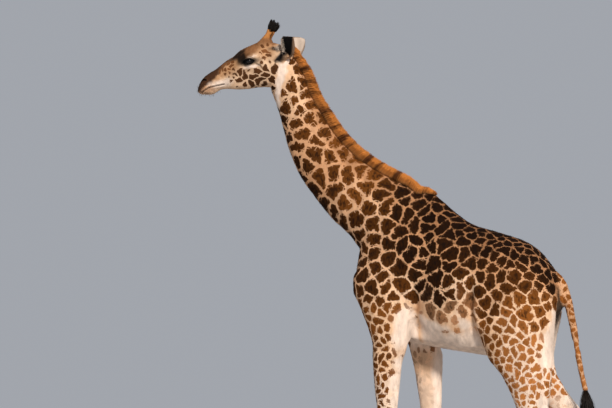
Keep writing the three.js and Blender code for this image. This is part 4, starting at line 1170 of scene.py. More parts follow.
def hide_at(points, normals):
    """Ground and patch colours, pitch, half the pale line, notching and the patches' shrinking, anywhere."""
    spot_tone, ground_tone, pitch, line, lobe, shrink, pale = body_hide(points)
    ground, spot = toned(GROUND_ROW, ground_tone, 3), toned(PATCH_ROW, spot_tone, 4)
    face, face_spot, face_shrink, face_pitch, face_line = head_hide(points, normals)
    head = on_head(points)
    ground, spot = mixed(ground, face, head), mixed(spot, face_spot, head)
    shrink, pale = between(shrink, face_shrink, head), pale * (1 - head)
    pitch, line = between(pitch, face_pitch, head), between(line, face_line, head)
    lobe = between(lobe, 0.2, head)
    place = in_head(points)
    gap, along = path_distance(place[:, 1:] + 0.005 * waves(points, 0.05, 33)[:, :2], JAW_BAND)
    reach = np.interp(along, [0, 0.5, 0.75, 1], [0.040, 0.034, 0.020, 0.014])
    ears = np.maximum(on_ears(points, 0.0), on_cups(points))
    band = fade(gap, reach * 0.55, reach * 1.2) * (np.abs(place[:, 0]) > 0.02) * (1 - ears)
    shrink = np.maximum(shrink, np.maximum(band, ears))
    ground = mixed(ground, face_colours()["white"], band * 0.9)
    # Bare dark skin under the tail's root, widened by painted shade over the inner thighs.
    bare = dark_skin_and_shade_under_tail(points)
    shrink = np.maximum(shrink, bare)
    ground = mixed(ground, face_colours()["dark"], bare * 0.92)
    spot = mixed(spot, ground, pale)
    return ground, spot, shrink, pitch, line * LINE_SHARE, lobe


def warped(points):
    """Places pushed about, so that the patches' straight borders wander."""
    wander = settings("skin").wander
    return points + wander * (waves(points, 0.16, 41) + 0.42 * waves(points, 0.05, 42))


def tree_of(points):
    tree = kdtree.KDTree(len(points))
    for index, point in enumerate(points):
        tree.insert(point, index)
    tree.balance()
    return tree


TRIES, SPACING = 22, 0.84  # places tried for each patch, and how near patches may lie, in pitches
ROUNDING, WITHDRAWAL = 0.028, 0.62  # how round patches' corners are, and how far patches shrink, in pitches


class Hide:
    """The patches' seeds over the skin, and the markings they give at any place."""

    def __init__(self, points, triangles):
        random = np.random.default_rng(settings("skin").seed)
        corners = points[triangles]
        pitch = hide_at(corners.mean(axis=1), None)[3]
        chance = twice_areas(corners) / 2 / pitch**2
        expected = chance.sum()
        picked = random.choice(len(triangles), int(expected * TRIES), p=chance / expected)
        share = random.dirichlet((1, 1, 1), len(picked))
        candidates = (corners[picked] * share[:, :, None]).sum(axis=1)
        spacing = pitch[picked] * SPACING
        tree = tree_of(candidates)
        free = np.ones(len(candidates), bool)
        seeds = []
        for index, point in enumerate(candidates):
            if free[index]:
                seeds.append(index)
                near = [found for _, found, _ in tree.find_range(point, spacing[index])]
                free[near] = False
        chosen = candidates[seeds]
        _, self.spot, self.shrink, _, _, _ = hide_at(chosen, None)
        self.spot *= np.exp(0.22 * random.normal(0, 1, len(seeds)).clip(-1.6, 1.6))[:, None]
        self.seeds = warped(chosen)
        self.tree = tree_of(self.seeds)

    def nearest(self, points, count=6):
        """Nearest seeds of warped places, and the distances to the bisectors with the next ones."""
        found = np.array([[hit[1] for hit in self.tree.find_n(point, count)] for point in points])
        own = self.seeds[found[:, 0]]
        others = self.seeds[found[:, 1:]]
        near = ((points - own) ** 2).sum(axis=1)[:, None]
        far = ((points[:, None, :] - others) ** 2).sum(axis=2)
        apart = np.linalg.norm(others - own[:, None, :], axis=2)
        return found[:, 0], (far - near) / (2 * apart)

    def marks(self, points, normals, at_edge=None):
        """Everything the coat's shader reads, for places on the skin or at the roots of hair."""
        ground, spot, shrink, pitch, half, lobe = hide_at(points, normals)
        label, gaps = self.nearest(warped(points))
        soft = (ROUNDING * pitch)[:, None]
        inside = -soft[:, 0] * np.log(np.exp(-gaps / soft).sum(axis=1))
        if at_edge is not None:
            inside = np.where(at_edge, np.minimum(inside, 0), inside)
        shrink = np.where(shrink > 0.97, 1, 0.25 * shrink + 0.75 * self.shrink[label])
        edge = inside - half - WITHDRAWAL * pitch * shrink**1.6
        spot = 0.35 * spot + 0.65 * self.spot[label]
        return label, {"edge": edge, "ground": ground, "spot": spot, "lobe": lobe}


def mesh_from(name, points, triangles, normals=None):
    """An object of triangles, with normals of its own for its vertices or for the corners of its faces."""
    mesh = bpy.data.meshes.new(name)
    mesh.from_pydata(points.tolist(), [], triangles.tolist())
    mesh.shade_smooth()
    if normals is not None and len(normals) == len(points):
        mesh.normals_split_custom_set_from_vertices(unit(normals).tolist())
    elif normals is not None:
        mesh.normals_split_custom_set(normals.tolist())
    obj = bpy.data.objects.new(name, mesh)
    bpy.context.collection.objects.link(obj)
    return obj


def cut_at_patches(skin, hide):
    """Splits the skin's edges exactly where the nearest patch changes, so that thin pale lines survive."""
    mesh = skin.data
    points, normals = points_of(mesh), normals_of(mesh)
    edges, triangles, sides = edges_of(mesh), triangles_of(mesh), by_triangle(mesh, "edge_index")
    flat = warped(points)
    label, _ = hide.nearest(flat, 2)
    marked = hide_at(points, normals)[2] < 0.9
    crossed = (label[edges[:, 0]] != label[edges[:, 1]]) & marked[edges].any(axis=1)
    first, second = edges[crossed].T
    a, b = hide.seeds[label[first]], hide.seeds[label[second]]
    lead_first = ((flat[first] - b) ** 2).sum(axis=1) - ((flat[first] - a) ** 2).sum(axis=1)
    lead_second = ((flat[second] - a) ** 2).sum(axis=1) - ((flat[second] - b) ** 2).sum(axis=1)
    share = np.clip(lead_first / np.maximum(lead_first + lead_second, 1e-12), 0.02, 0.98)
    middle = np.full(len(edges), -1)
    middle[crossed] = len(points) + np.arange(crossed.sum())
    new_points = mixed(points[first], points[second], share)
    new_normals = mixed(normals[first], normals[second], share)
    middles = middle[sides]
    splits = (middles >= 0).sum(axis=1)
    kept = triangles[splits == 0]
    one, mids = triangles[splits == 1], middles[splits == 1]
    order = ((mids >= 0).argmax(axis=1)[:, None] + np.arange(3)) % 3
    w0, w1, w2 = np.take_along_axis(one, order, 1).T
    mid = mids.max(axis=1)
    two, mids = triangles[splits == 2], middles[splits == 2]
    turn = (mids < 0).argmax(axis=1)
    order = (turn[:, None] + np.arange(3)) % 3
    v0, v1, v2 = np.take_along_axis(two, order, 1).T
    _, m12, m20 = np.take_along_axis(mids, order, 1).T
    pieces = [kept, columns(v2, m20, m12), columns(v0, v1, m12), columns(v0, m12, m20)]
    pieces += [columns(w0, mid, w2), columns(mid, w1, w2)]
    three, mids = triangles[splits == 3], middles[splits == 3]
    if len(three):
        centre = len(points) + len(new_points) + np.arange(len(three))
        all_points = np.concatenate([points, new_points])
        all_normals = np.concatenate([normals, new_normals])
        new_points = np.concatenate([new_points, all_points[mids].mean(axis=1)])
        new_normals = np.concatenate([new_normals, all_normals[mids].mean(axis=1)])
        for k in range(3):
            corner, ahead, behind = three[:, k], mids[:, k], mids[:, k - 1]
            pieces += [columns(corner, ahead, centre), columns(behind, corner, centre)]
    at_edge = np.concatenate([np.zeros(len(points), bool), np.ones(len(new_points), bool)])
    points = np.concatenate([points, new_points])
    normals = np.concatenate([normals, new_normals])
    bpy.data.objects.remove(skin)
    return mesh_from("skin", points, np.concatenate(pieces), normals), at_edge


# ---------------- materials


def material(name):
    made = bpy.data.materials.new(name)
    made.use_nodes = True
    tree = made.node_tree
    return made, tree, tree.nodes["Principled BSDF"]


def fill_inputs(tree, node, inputs):
    """Sets or links a shader node's inputs, by name or number."""
    for key, value in inputs.items():
        if isinstance(value, bpy.types.NodeSocket):
            tree.links.new(value, node.inputs[key])
        else:
            node.inputs[key].default_value = value


def add_node(tree, kind, inputs=None, **options):
    made = tree.nodes.new(kind)
    for key, value in options.items():
        setattr(made, key, value)
    fill_inputs(tree, made, inputs or {})
    return made


def value_of(tree, operation, *inputs):
    return add_node(tree, "ShaderNodeMath", dict(enumerate(inputs)), operation=operation).outputs[0]


def blended(tree, share, first, second, kind="MIX"):
    inputs = {0: share, 6: first, 7: second}
    return add_node(tree, "ShaderNodeMix", inputs, data_type="RGBA", blend_type=kind).outputs[2]


def object_place(tree):
    return add_node(tree, "ShaderNodeTexCoord").outputs["Object"]


def noise(tree, scale, detail=2.0, stretch=None, socket="Fac"):
    place = object_place(tree)
    if stretch:
        place = add_node(tree, "ShaderNodeMapping", {"Vector": place, "Scale": stretch}).outputs[0]
    made = add_node(tree, "ShaderNodeTexNoise", {"Vector": place, "Scale": scale, "Detail": detail})
    return made.outputs[socket]


def attribute(tree, name, socket="Fac"):
    return add_node(tree, "ShaderNodeAttribute", attribute_name=name).outputs[socket]


def ranged(tree, value, low, high, start=0.0, end=1.0, kind="SMOOTHSTEP"):
    """A value taken from one range to another."""
    inputs = {"Value": value, "From Min": low, "From Max": high, "To Min": start, "To Max": end}
    return add_node(tree, "ShaderNodeMapRange", inputs, interpolation_type=kind).outputs["Result"]


def grey(tree, value):
    return add_node(tree, "ShaderNodeCombineColor", {0: value, 1: value, 2: value}).outputs[0]


def bumped(tree, shader, height, strength, distance):
    bump = add_node(tree, "ShaderNodeBump", {"Height": height, "Strength": strength, "Distance": distance})
    fill_inputs(tree, shader, {"Normal": bump.outputs[0]})


HEART_BLACK = (0.004, 0.002, 0.0015, 1)  # the dark hair in the middle of a patch


def coat_material(name):
    """Patches and ground from the mesh's attributes, with notched edges, hair streaks and a fine nap."""
    made, tree, shader = material(name)
    coarse = value_of(tree, "SUBTRACT", noise(tree, 30.0, 2.5), 0.5)
    fine = value_of(tree, "SUBTRACT", noise(tree, 160.0, 2.0), 0.5)
    lobe = attribute(tree, "lobe")
    inputs = {0: noise(tree, 25.0, socket="Color"), 1: (0.03, 0.03, 0.03), 2: object_place(tree)}
    inputs = {"Vector": add_node(tree, "ShaderNodeVectorMath", inputs, operation="MULTIPLY_ADD").outputs[0]}
    inputs["Scale"] = 19.0
    cracks = add_node(tree, "ShaderNodeTexVoronoi", inputs, feature="DISTANCE_TO_EDGE").outputs["Distance"]
    crack = ranged(tree, cracks, 0.0, 0.075, -0.014, 0.0)
    notch = value_of(tree, "MULTIPLY", value_of(tree, "MULTIPLY_ADD", coarse, 0.014, crack), lobe)
    edge = value_of(tree, "ADD", attribute(tree, "edge"), notch)
    edge = value_of(tree, "MULTIPLY_ADD", coarse, 0.009, edge)
    edge = value_of(tree, "MULTIPLY_ADD", fine, 0.006, edge)
    mask = ranged(tree, edge, -0.0024, 0.0026)
    streaks = ranged(tree, noise(tree, 42.0, 3.0, (1.6, 1.6, 0.8)), 0.36, 0.62)
    heart = value_of(tree, "MULTIPLY", ranged(tree, edge, 0.002, 0.034), streaks)
    darkness = ranged(tree, heart, 0.0, 1.0, 0.0, 0.72)
    patch = blended(tree, darkness, attribute(tree, "spot", "Color"), HEART_BLACK)
    ground_shade = ranged(tree, noise(tree, 26.0, 4.0, (1.0, 1.0, 0.35)), 0.3, 0.7, 0.80, 1.06)
    ground = blended(tree, 1.0, attribute(tree, "ground", "Color"), grey(tree, ground_shade), "MULTIPLY")
    colour = blended(tree, mask, ground, patch)
    nap = value_of(tree, "MULTIPLY_ADD", noise(tree, 420.0, 2.0), 0.9, 0.55)
    colour = blended(tree, 0.6, colour, grey(tree, nap), "MULTIPLY")
    fill_inputs(tree, shader, {"Base Color": colour, "Roughness": 0.85, "Specular IOR Level": 0.06})
    lie = value_of(tree, "ADD", noise(tree, 420.0, 3.0), noise(tree, 120.0, 3.0, (1.5, 1.5, 0.35)))
    bumped(tree, shader, lie, 0.6, 0.0016)
    return made


def eye_material(side):
    """A dark wet ball: a brown iris with a level, oval pupil, told by the way out from its centre."""
    made, tree, shader = material(f"giraffe_eye_{side}")
    centre, ahead, up, _ = eye_frame(side)
    inputs = {0: object_place(tree), 1: tuple(-centre)}
    away = add_node(tree, "ShaderNodeVectorMath", inputs, operation="ADD").outputs[0]

    def along(way, size):
        dot = add_node(tree, "ShaderNodeVectorMath", {0: away, 1: tuple(way / size)}, operation="DOT_PRODUCT")
        return value_of(tree, "POWER", value_of(tree, "ABSOLUTE", dot.outputs["Value"]), 2.0)

    pupil = value_of(tree, "ADD", along(ahead, 0.0125), along(up, 0.0075))
    iris = value_of(tree, "ADD", along(ahead, 0.0195), along(up, 0.0195))
    past_pupil = ranged(tree, pupil, 0.85, 1.1, kind="LINEAR")
    past_iris = ranged(tree, iris, 0.9, 1.1, kind="LINEAR")
    pale = tuple(settings("colours").iris)
    brown = blended(tree, noise(tree, 900.0), (*(0.3 * part for part in pale), 1), (*pale, 1))
    colour = blended(tree, past_pupil, (0.003, 0.003, 0.004, 1), brown)
    colour = blended(tree, past_iris, colour, (0.006, 0.004, 0.004, 1))
    fill_inputs(tree, shader, {"Base Color": colour, "Roughness": 0.18, "Specular IOR Level": 0.2})
    fill_inputs(tree, shader, {"Coat Weight": 0.7, "Coat IOR": 1.33, "Coat Roughness": 0.03})
    return made


def build_eye(side):
    """One smooth eyeball with a raised cornea, in place of the CAD ball."""
    centre, _, up, out = eye_frame(side)
    bpy.ops.mesh.primitive_uv_sphere_add(segments=64, ring_count=32, radius=1)
    eye = bpy.context.object
    eye.name = eye.data.name = f"eyeball_{side}"
    points = points_of(eye.data)
    turn = np.stack([np.cross(up, out), up, out])
    bulge = 1 + 0.035 * ramp(points[:, 2], 0.72, 0.9)
    set_points(eye.data, centre + (points * bulge[:, None] * (EYE_RADIUS - 0.0012)) @ turn)
    with opened(eye.data) as work:
        bmesh.ops.recalc_face_normals(work, faces=work.faces)
    eye.data.shade_smooth()
    finish_piece(eye, eye_material(side), [f"eye_{side}"])


def hoof_material():
    made, tree, shader = material("giraffe_hoof")
    rings = noise(tree, 60.0, 3.0, (0.25, 0.25, 3.0))
    pale = tuple(settings("colours").hoof)
    dark = tuple(0.38 * part for part in pale)
    fill_inputs(tree, shader, {"Base Color": blended(tree, rings, (*dark, 1), (*pale, 1)), "Roughness": 0.55})
    bumped(tree, shader, rings, 0.5, 0.002)
    return made


HOOF_VOXEL = 0.0035
GROWTH_RING, RING_DEPTH = 0.016, 0.0007  # the hooves' rings: from one to the next, and how far they stand out


def build_hooves():
    """The four cloven hooves, rounded over from their plain solids, with flat soles."""
    horn = hoof_material()
    for end in ("fore", "hind"):
        for side in SIDES:
            node = f"{end}_hoof_{side}"
            hoof = copy_of(node)
            hoof.name = hoof.data.name = f"horn_{end}_{side}"
            apply_modifier(hoof, "REMESH", mode="VOXEL", voxel_size=HOOF_VOXEL)
            keep_largest(hoof)
            points, edges = points_of(hoof.data), edges_of(hoof.data)
            low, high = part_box(node)
            sole = ramp(points[:, 2], low[2] + 0.004, low[2] + 0.016)
            points = smoothed(points, edges, 10, sole)
            ring = np.sin((points[:, 2] - low[2]) * 2 * math.pi / GROWTH_RING)
            points += normals_of(hoof.data) * (RING_DEPTH * ring * sole)[:, None]
            set_points(hoof.data, np.clip(points, np.array(low), np.array(high)))
            hoof.data.shade_smooth()
            finish_piece(hoof, horn, [node])


def build_skin():
    """The one skin, with its markings cut in."""
    skin = shaped_skin()
    points = points_of(skin.data)
    measure_legs(points)
    hide = Hide(points, triangles_of(skin.data))
    skin, at_edge = cut_at_patches(skin, hide)
    _, marks = hide.marks(points_of(skin.data), normals_of(skin.data), at_edge)
    for name, values in marks.items():
        add_attribute(skin.data, name, values)
    finish_piece(skin, coat_material("giraffe_skin"), HEAD_FLESH + BODY_FLESH)


# ---------------- hair as solid blades


BOX_MARGIN = 0.0002  # how far the hair stays inside the solids' box
HAIR_STEPS = np.array([0.0, 0.35, 0.7, 1.0])  # shares of a short hair's length where its path has corners


def blade_mesh(paths, flats, widths, thicks, taper):
    """Closed three-sided blades along paths. Shapes: paths (n, k, 3), flats (n, 3), widths and thicks (n)."""
    count, steps, _ = paths.shape
    along = np.gradient(paths, axis=1)
    along /= np.linalg.norm(along, axis=2, keepdims=True)
    side = flats[:, None, :] - along * (along * flats[:, None, :]).sum(axis=2, keepdims=True)
    side /= np.maximum(np.linalg.norm(side, axis=2, keepdims=True), 1e-9)
    out = np.cross(side, along)
    wide = side[:, :-1] * (widths[:, None] * taper[None, :-1])[..., None]
    deep = out[:, :-1] * (thicks[:, None] * taper[None, :-1])[..., None]
    base = paths[:, :-1]
    ring = np.stack([base + wide - deep * 0.4, base - wide - deep * 0.4, base + deep * 0.8], axis=2)
    per = 3 * (steps - 1) + 1
    points = np.concatenate([ring.reshape(count, -1, 3), paths[:, -1:]], axis=1)
    faces = [[0, 2, 1]]
    for row in range(steps - 2):
        for corner in range(3):
            a, b = row * 3 + corner, row * 3 + (corner + 1) % 3
            faces += [[a, b + 3, a + 3], [a, b, b + 3]]
    last = (steps - 2) * 3
    faces += [[last + corner, last + (corner + 1) % 3, per - 1] for corner in range(3)]
    triangles = (np.array(faces)[None] + (np.arange(count) * per)[:, None, None]).reshape(-1, 3)
    return points.reshape(-1, 3), triangles, per


def blades(name, paths, flats, widths, thicks, taper, normals=None):
    """An object of blades, how many vertices each has and how far along its blade each vertex lies."""
    points, triangles, per = blade_mesh(paths, flats, widths, thicks, taper)
    points = inside_box(points, BOX_MARGIN)
    if normals is not None:
        # The upper faces take the skin's normals, the root and the underside their opposites.
        way = np.array([-1.0, -1.0, 1.0, 1.0])
        normals = np.repeat(normals[:, None] * way[:, None], 3, axis=1).reshape(-1, 3)
    made = mesh_from(name, points, triangles, normals)
    rows = np.repeat(np.arange(paths.shape[1] - 1), 3)
    share = np.append(rows, paths.shape[1] - 1) / (paths.shape[1] - 1)
    return made, per, np.tile(share, len(paths))


def add_bake_map(obj, per, places):
    """The OFBake map: each blade a small patch at its root's place on the skin's unwrap."""
    low, high = places.min(axis=0), places.max(axis=0)
    places = 0.005 + 0.99 * (places - low) / np.maximum(high - low, 1e-6)
    turn = np.arange(per) * 2 * math.pi / 3
    grow = np.linspace(0.3, 1, per)
    patch = columns(np.cos(turn) * grow, np.sin(turn) * grow) * 0.0015
    places = (places[:, None, :] + patch[None]).reshape(-1, 2)
    layer = obj.data.uv_layers.new(name="OFBake")
    layer.data.foreach_set("uv", places[triangles_of(obj.data).ravel()].astype(np.float32).ravel())


class Surface:
    """The skin as something to grow hair from, with its markings."""

    def __init__(self):
        if "skin" not in bpy.data.objects:
            raise RuntimeError("The skin is built before anything that grows from it")
        mesh = bpy.data.objects["skin"].data
        self.points, self.normals = points_of(mesh), normals_of(mesh)
        self.triangles = triangles_of(mesh)
        self.marks = {name: read_attribute(mesh, name) for name in ("edge", "lobe", "ground", "spot")}

    def under(self, starts, ways, reach=0.5):
        """Where rays meet the skin, and which rays met it."""
        tree = BVHTree.FromPolygons(self.points.tolist(), self.triangles.tolist())
        hits = [tree.ray_cast(Vector(a), Vector(b), reach) for a, b in zip(starts, ways)]
        met = np.array([hit[0] is not None for hit in hits])
        return np.array([tuple(hit[0]) for hit in hits if hit[0] is not None]), met

    def scattered(self, random, count, density):
        """Random places on the skin, by a density told for its triangles' middles, with what lies there."""
        corners = self.points[self.triangles]
        chance = twice_areas(corners) * density(corners.mean(axis=1))
        picked = random.choice(len(chance), count, p=chance / chance.sum())
        share = random.dirichlet((1, 1, 1), count)

        def blend(values):
            values = values.reshape(len(self.points), -1)
            found = (values[self.triangles[picked]] * share[:, :, None]).sum(axis=1)
            return found[:, 0] if found.shape[1] == 1 else found

        marks = {name: blend(values) for name, values in self.marks.items()}
        return blend(self.points), unit(blend(self.normals)), marks


# The crest from the poll to the withers, as y and z in the body's frame, and the mane's height along it.
CREST_LINE = [[-1.256, 3.612], [-1.210, 3.580], [-1.165, 3.520], [-1.097, 3.415], [-1.047, 3.282]]
CREST_LINE += [[-0.960, 3.137], [-0.845, 2.989], [-0.734, 2.882], [-0.609, 2.800], [-0.475, 2.733]]
CREST_LINE = np.array(CREST_LINE + [[-0.334, 2.690], [-0.215, 2.655], [-0.168, 2.630]])
MANE_HEIGHT = np.array([[0, 32], [0.03, 48], [0.1, 64], [0.2, 75], [0.5, 79], [0.8, 75], [0.93, 58], [1, 18]])


def crest_at(share):
    """Points of the crest at shares of its length, and the ways along and out of it."""
    marks = shares_along(CREST_LINE)

    def place(at):
        flat = np.stack([np.interp(at, marks, CREST_LINE[:, k]) for k in (0, 1)], axis=1)
        return np.concatenate([np.zeros((len(at), 1)), flat], axis=1)

    along = unit(place(np.clip(share + 0.03, 0, 1)) - place(np.clip(share - 0.03, 0, 1)))
    out = columns(np.zeros(len(share)), -along[:, 2], along[:, 1])
    return BODY_ORIGIN + place(share), along, out


def build_mane():
    """Short upright locks along the crest, russet with dark bands, leaning back a little."""
    surface = Surface()
    random = np.random.default_rng(11)
    count, half_width = settings("hair").mane_locks, settings("hair").mane_half_width
    share = np.sort(random.uniform(0.0, 1.0, count))
    crest, along, out = crest_at(share)
    spread = random.normal(0, 0.5, count).clip(-1, 1)
    across = np.array([1.0, 0, 0])
    starts = crest + out * 0.08 + across * (spread * half_width)[:, None]
    roots, met = surface.under(starts, -out)
    share, along, out, spread = share[met], along[met], out[met], spread[met]
    count = len(share)
    height = table_at(MANE_HEIGHT, share) / 1000 * random.uniform(0.88, 1.03, count)
    height *= 1 - 0.25 * np.abs(spread) ** 2
    clump = waves(columns(share * 22, spread * 0.5, share * 0), 1.0, 61)
    lean = 0.30 + 0.07 * clump[:, 0] + random.normal(0, 0.05, count)
    splay = spread * 0.14 + 0.03 * clump[:, 1] + random.normal(0, 0.04, count)
    steps = np.array([-0.10, 0.3, 0.68, 1.0])
    up = height[:, None] * steps
    paths = roots[:, None] + out[:, None] * up[..., None]
    paths += along[:, None] * (lean[:, None] * up * np.abs(steps) ** 0.8)[..., None]
    paths += across * (splay[:, None] * up * np.abs(steps) ** 0.5)[..., None]
    widths = random.uniform(0.0015, 0.0028, count)
    taper = np.array([0.75, 1.0, 0.85, 0.0])
    flats = unit(along + 0.5 * random.normal(size=(count, 3)))
    mane, per, tip = blades("mane_hair", paths, flats, widths, widths * 0.35, taper)
    band = waves(columns(share * 1.75, share * 0, share * 0), 0.085, 62)[:, 0]
    band = ramp(band + 0.25 * random.normal(size=count), 0.1, 0.9)
    add_hair_colour(mane, per, tip, band, random, settings("colours").mane, MANE_SHADES)
    add_bake_map(mane, per, columns(spread, share))
    finish_piece(mane, hair_material("giraffe_mane", 0.55), [f"mane_{k}" for k in range(1, 5)])


# How each hair's tone changes from its root through its middle to its tip, plain and in a dark band.
MANE_SHADES = [[(0.68, 0.82, 1.4), (0.74, 0.68, 0.75), (1, 1, 1)]]
MANE_SHADES += [[(0.26, 0.26, 0.40), (0.137, 0.112, 0.15), (0.21, 0.168, 0.2)]]
BLACK_SHADES = [[(1.2, 1.3, 1.2), (0.67, 0.83, 0.8), (1, 1, 1)]]
BLACK_SHADES += [[(2.2, 2.0, 1.6), (1.2, 1.3, 1.2), (1.55, 1.5, 1.4)]]


def add_hair_colour(obj, per, tip, band, random, base, shades):
    """A tint for every vertex, from root to tip, changed in the bands, varied lock by lock."""
    rows = [np.array(shade) * np.array(tuple(base)) for shade in shades]
    plain, dark = (columns(*(np.interp(tip, [0, 0.5, 1], part) for part in row.T)) for row in rows)
    tint = mixed(plain, dark, np.repeat(band, per))
    tint *= np.repeat(np.exp(random.normal(0, 0.16, len(band))), per)[:, None]
    add_attribute(obj.data, "tint", tint)


def hair_material(name, roughness):
    made, tree, shader = material(name)
    tint = attribute(tree, "tint", "Color")
    fill_inputs(tree, shader, {"Base Color": tint, "Roughness": roughness, "Specular IOR Level": 0.15})
    return made


def finish_black_tuft(name, replaced, roughness, random, paths, flats, widths, taper, places):
    """Makes a tuft of black hair of many shades from its paths."""
    tuft, per, tip = blades(name, paths, flats, widths, widths * 0.5, taper)
    band = random.uniform(0, 1, len(widths)) ** 2
    add_hair_colour(tuft, per, tip, band, random, settings("colours").black_hair, BLACK_SHADES)
    add_bake_map(tuft, per, places)
    finish_piece(tuft, hair_material("giraffe_" + name, roughness), [replaced])


def build_tail_tuft():
    """Long black hair hanging from the tail's end, wavy, of many lengths."""
    random = np.random.default_rng(12)
    low, high = (np.array(v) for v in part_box("tail_tuft"))
    count = settings("hair").tail_locks
    top = np.array([MID_X, high[1] - 0.075, high[2] - 0.004])
    angle = random.uniform(0, 2 * math.pi, count)
    ring = np.sqrt(random.uniform(0, 1, count))
    out = columns(np.cos(angle), np.sin(angle), np.zeros(count))
    start = random.uniform(-0.02, 0.10, count)
    length = random.uniform(0.55, 1.0, count) * (high[2] - low[2])
    length = np.minimum(length, high[2] - low[2] - start.clip(0) - 0.002)
    steps = np.linspace(0, 1, 7)
    drop = start[:, None] + length[:, None] * steps
    swell = ring[:, None] * (0.016 + 0.036 * np.sin(np.clip(steps * 1.2, 0, 1) * math.pi * 0.82))
    sway = waves(out * 0.3 + random.uniform(0, 1, (count, 3)), 1.0, 71)
    curl = np.sin(steps * 5.0 + random.uniform(0, 6.28, (count, 1))) * 0.004
    paths = np.repeat(top[None, None], count, axis=0) + out[:, None] * swell[..., None]
    paths = paths - np.array([0, 0, 1.0]) * drop[..., None]
    paths += np.array([0, 0.13, 0]) * (drop * (1 - drop / 0.8))[..., None]
    paths += (sway[:, None, :] * curl[..., None]) * np.array([1, 1, 0.2])
    widths = random.uniform(0.0010, 0.0021, count)
    taper = np.array([0.7, 1.0, 1.0, 0.9, 0.7, 0.45, 0.0])
    flats = unit(np.cross(out, [0, 0, 1.0]) + 0.4 * random.normal(size=(count, 3)))
    places = columns(angle, ring)
    finish_black_tuft("tail_hair", "tail_tuft", 0.45, random, paths, flats, widths, taper, places)


# Wisps of an ossicone's hair: where its tip ends from the crown (out, back, up), its spread and its share
# of the hairs.
HORN_WISPS = [
    ((0.000, 0.006, 0.074), 0.003, 0.17),
    ((0.003, 0.040, 0.048), 0.004, 0.19),
    ((-0.003, 0.044, 0.030), 0.005, 0.14),
    ((0.012, 0.012, 0.042), 0.006, 0.14),
    ((-0.012, 0.010, 0.042), 0.006, 0.14),
    ((0.000, -0.007, 0.034), 0.006, 0.22),
]


def build_horn_tuft(side):
    """Black hair on an ossicone's crown that gathers in wisps, one of them longer, and sweeps back."""
    random = np.random.default_rng(13 + SIDES[side])
    count = settings("hair").horn_hairs
    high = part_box(f"ossicone_tuft_{side}")[1]
    base = np.array([*crown_of(side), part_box(f"ossicone_{side}")[1][2]])
    wisp = random.choice(len(HORN_WISPS), count, p=[row[2] for row in HORN_WISPS])
    tips = np.array([row[0] for row in HORN_WISPS])[wisp]
    tips += random.normal(size=(count, 3)) * np.array([row[1] for row in HORN_WISPS])[wisp][:, None]
    aim = np.arctan2(tips[:, 1] - 0.012, tips[:, 0])
    angle = aim + random.normal(0, 0.8, count)
    ring = random.uniform(0.0, 1.0, count) ** 0.5
    out = columns(np.cos(angle), np.sin(angle), np.zeros(count))
    roots = out * (ring * 0.0195)[:, None] - np.array([0, 0, 1.0]) * (0.003 + 0.014 * ring**3)[:, None]
    tips *= random.uniform(0.72, 1.0, count)[:, None]
    paths = base + roots[:, None] + (tips - roots)[:, None] * HAIR_STEPS[:, None]
    bulge = np.sin(HAIR_STEPS * math.pi) * (0.002 + 0.003 * ring)[:, None]
    paths += out[:, None] * bulge[..., None]
    paths[..., 2] = np.minimum(paths[..., 2] + 0.25 * bulge, high[2] - 0.0005)
    widths = random.uniform(0.0007, 0.0014, count)
    taper = np.array([0.8, 1.0, 0.75, 0.0])
    flats = unit(np.cross(out, [0, 0, 1.0]) + 0.4 * random.normal(size=(count, 3)))
    name, places = f"horn_hair_{side}", columns(angle % (2 * math.pi), ring)
    finish_black_tuft(name, f"ossicone_tuft_{side}", 0.5, random, paths, flats, widths, taper, places)


def crown_of(side):
    """The middle of an ossicone's top, from the solid's own highest points."""
    points = points_of(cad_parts[f"ossicone_{side}"].data)
    top = points[points[:, 2] > points[:, 2].max() - 0.01]
    return (top[:, :2].min(axis=0) + top[:, :2].max(axis=0)) / 2


# ---------------- the short coat

# Coat pieces: name, share of the tufts, slot.
COAT_PIECES = [("coat_trunk", 0.38, "coat_body"), ("coat_neck", 0.16, "coat_body")]
COAT_PIECES += [("coat_limbs", 0.30, "coat_legs"), ("coat_face", 0.16, "coat_head")]
TUFT_SINK = 0.0008  # how deep a tuft's root lies under the skin


def coat_part(points):
    """Which coat piece a place on the skin belongs to, by its number in COAT_PIECES."""
    x, _, z = in_body(points).T
    part = np.zeros(len(points), int)
    part[beyond(points, NECK_BASE_PLANE) > 0] = 1
    part[(z < LIMB_SEAMS[0]) & (np.abs(x) > 0.06) & (on_tail(points) < 0.5)] = 2
    part[beyond(points, POLL_PLANE) > 0] = 3
    return part


def lie_of(points, normals):
    """The way the coat lies: back from the nose, down the neck and limbs, back and down over the trunk."""
    place = in_body(points)
    head = past_poll(points, -0.05, 0.05)[:, None]
    neck = ramp(beyond(points, NECK_BASE_PLANE), -0.10, 0.15)[:, None]
    limb = fade(place[:, 2], 1.70, 1.95)[:, None]
    tail = on_tail(points)[:, None]
    _, along = path_distance(place[:, 1:], NECK_AXIS)
    step = np.interp(along, [0, 0.5, 1], [0.75, 0.95, 1.25])
    down_neck = columns(np.zeros(len(points)), np.cos(step), -np.sin(step))
    way = between(np.array([0, 0.80, -0.60]), np.array([0, 0.12, -1.0]), limb)
    way = between(way, down_neck, neck)
    way = between(way, np.array([0, 0, -0.25]) - HEAD_AHEAD, head)
    way = between(way, np.array([0, 0.1, -1.0]), tail)
    way = way + 0.30 * waves(points, 0.16, 81)
    for side in SIDES:
        share = ear_place(points, side)[0]
        on_ear = (ramp(share, 0.15, 0.3) * (share < 1.15) * head[:, 0])[:, None]
        way = between(way, ear_axes(side)[0], on_ear)
    return unit(way - normals * (way * normals).sum(axis=1, keepdims=True))


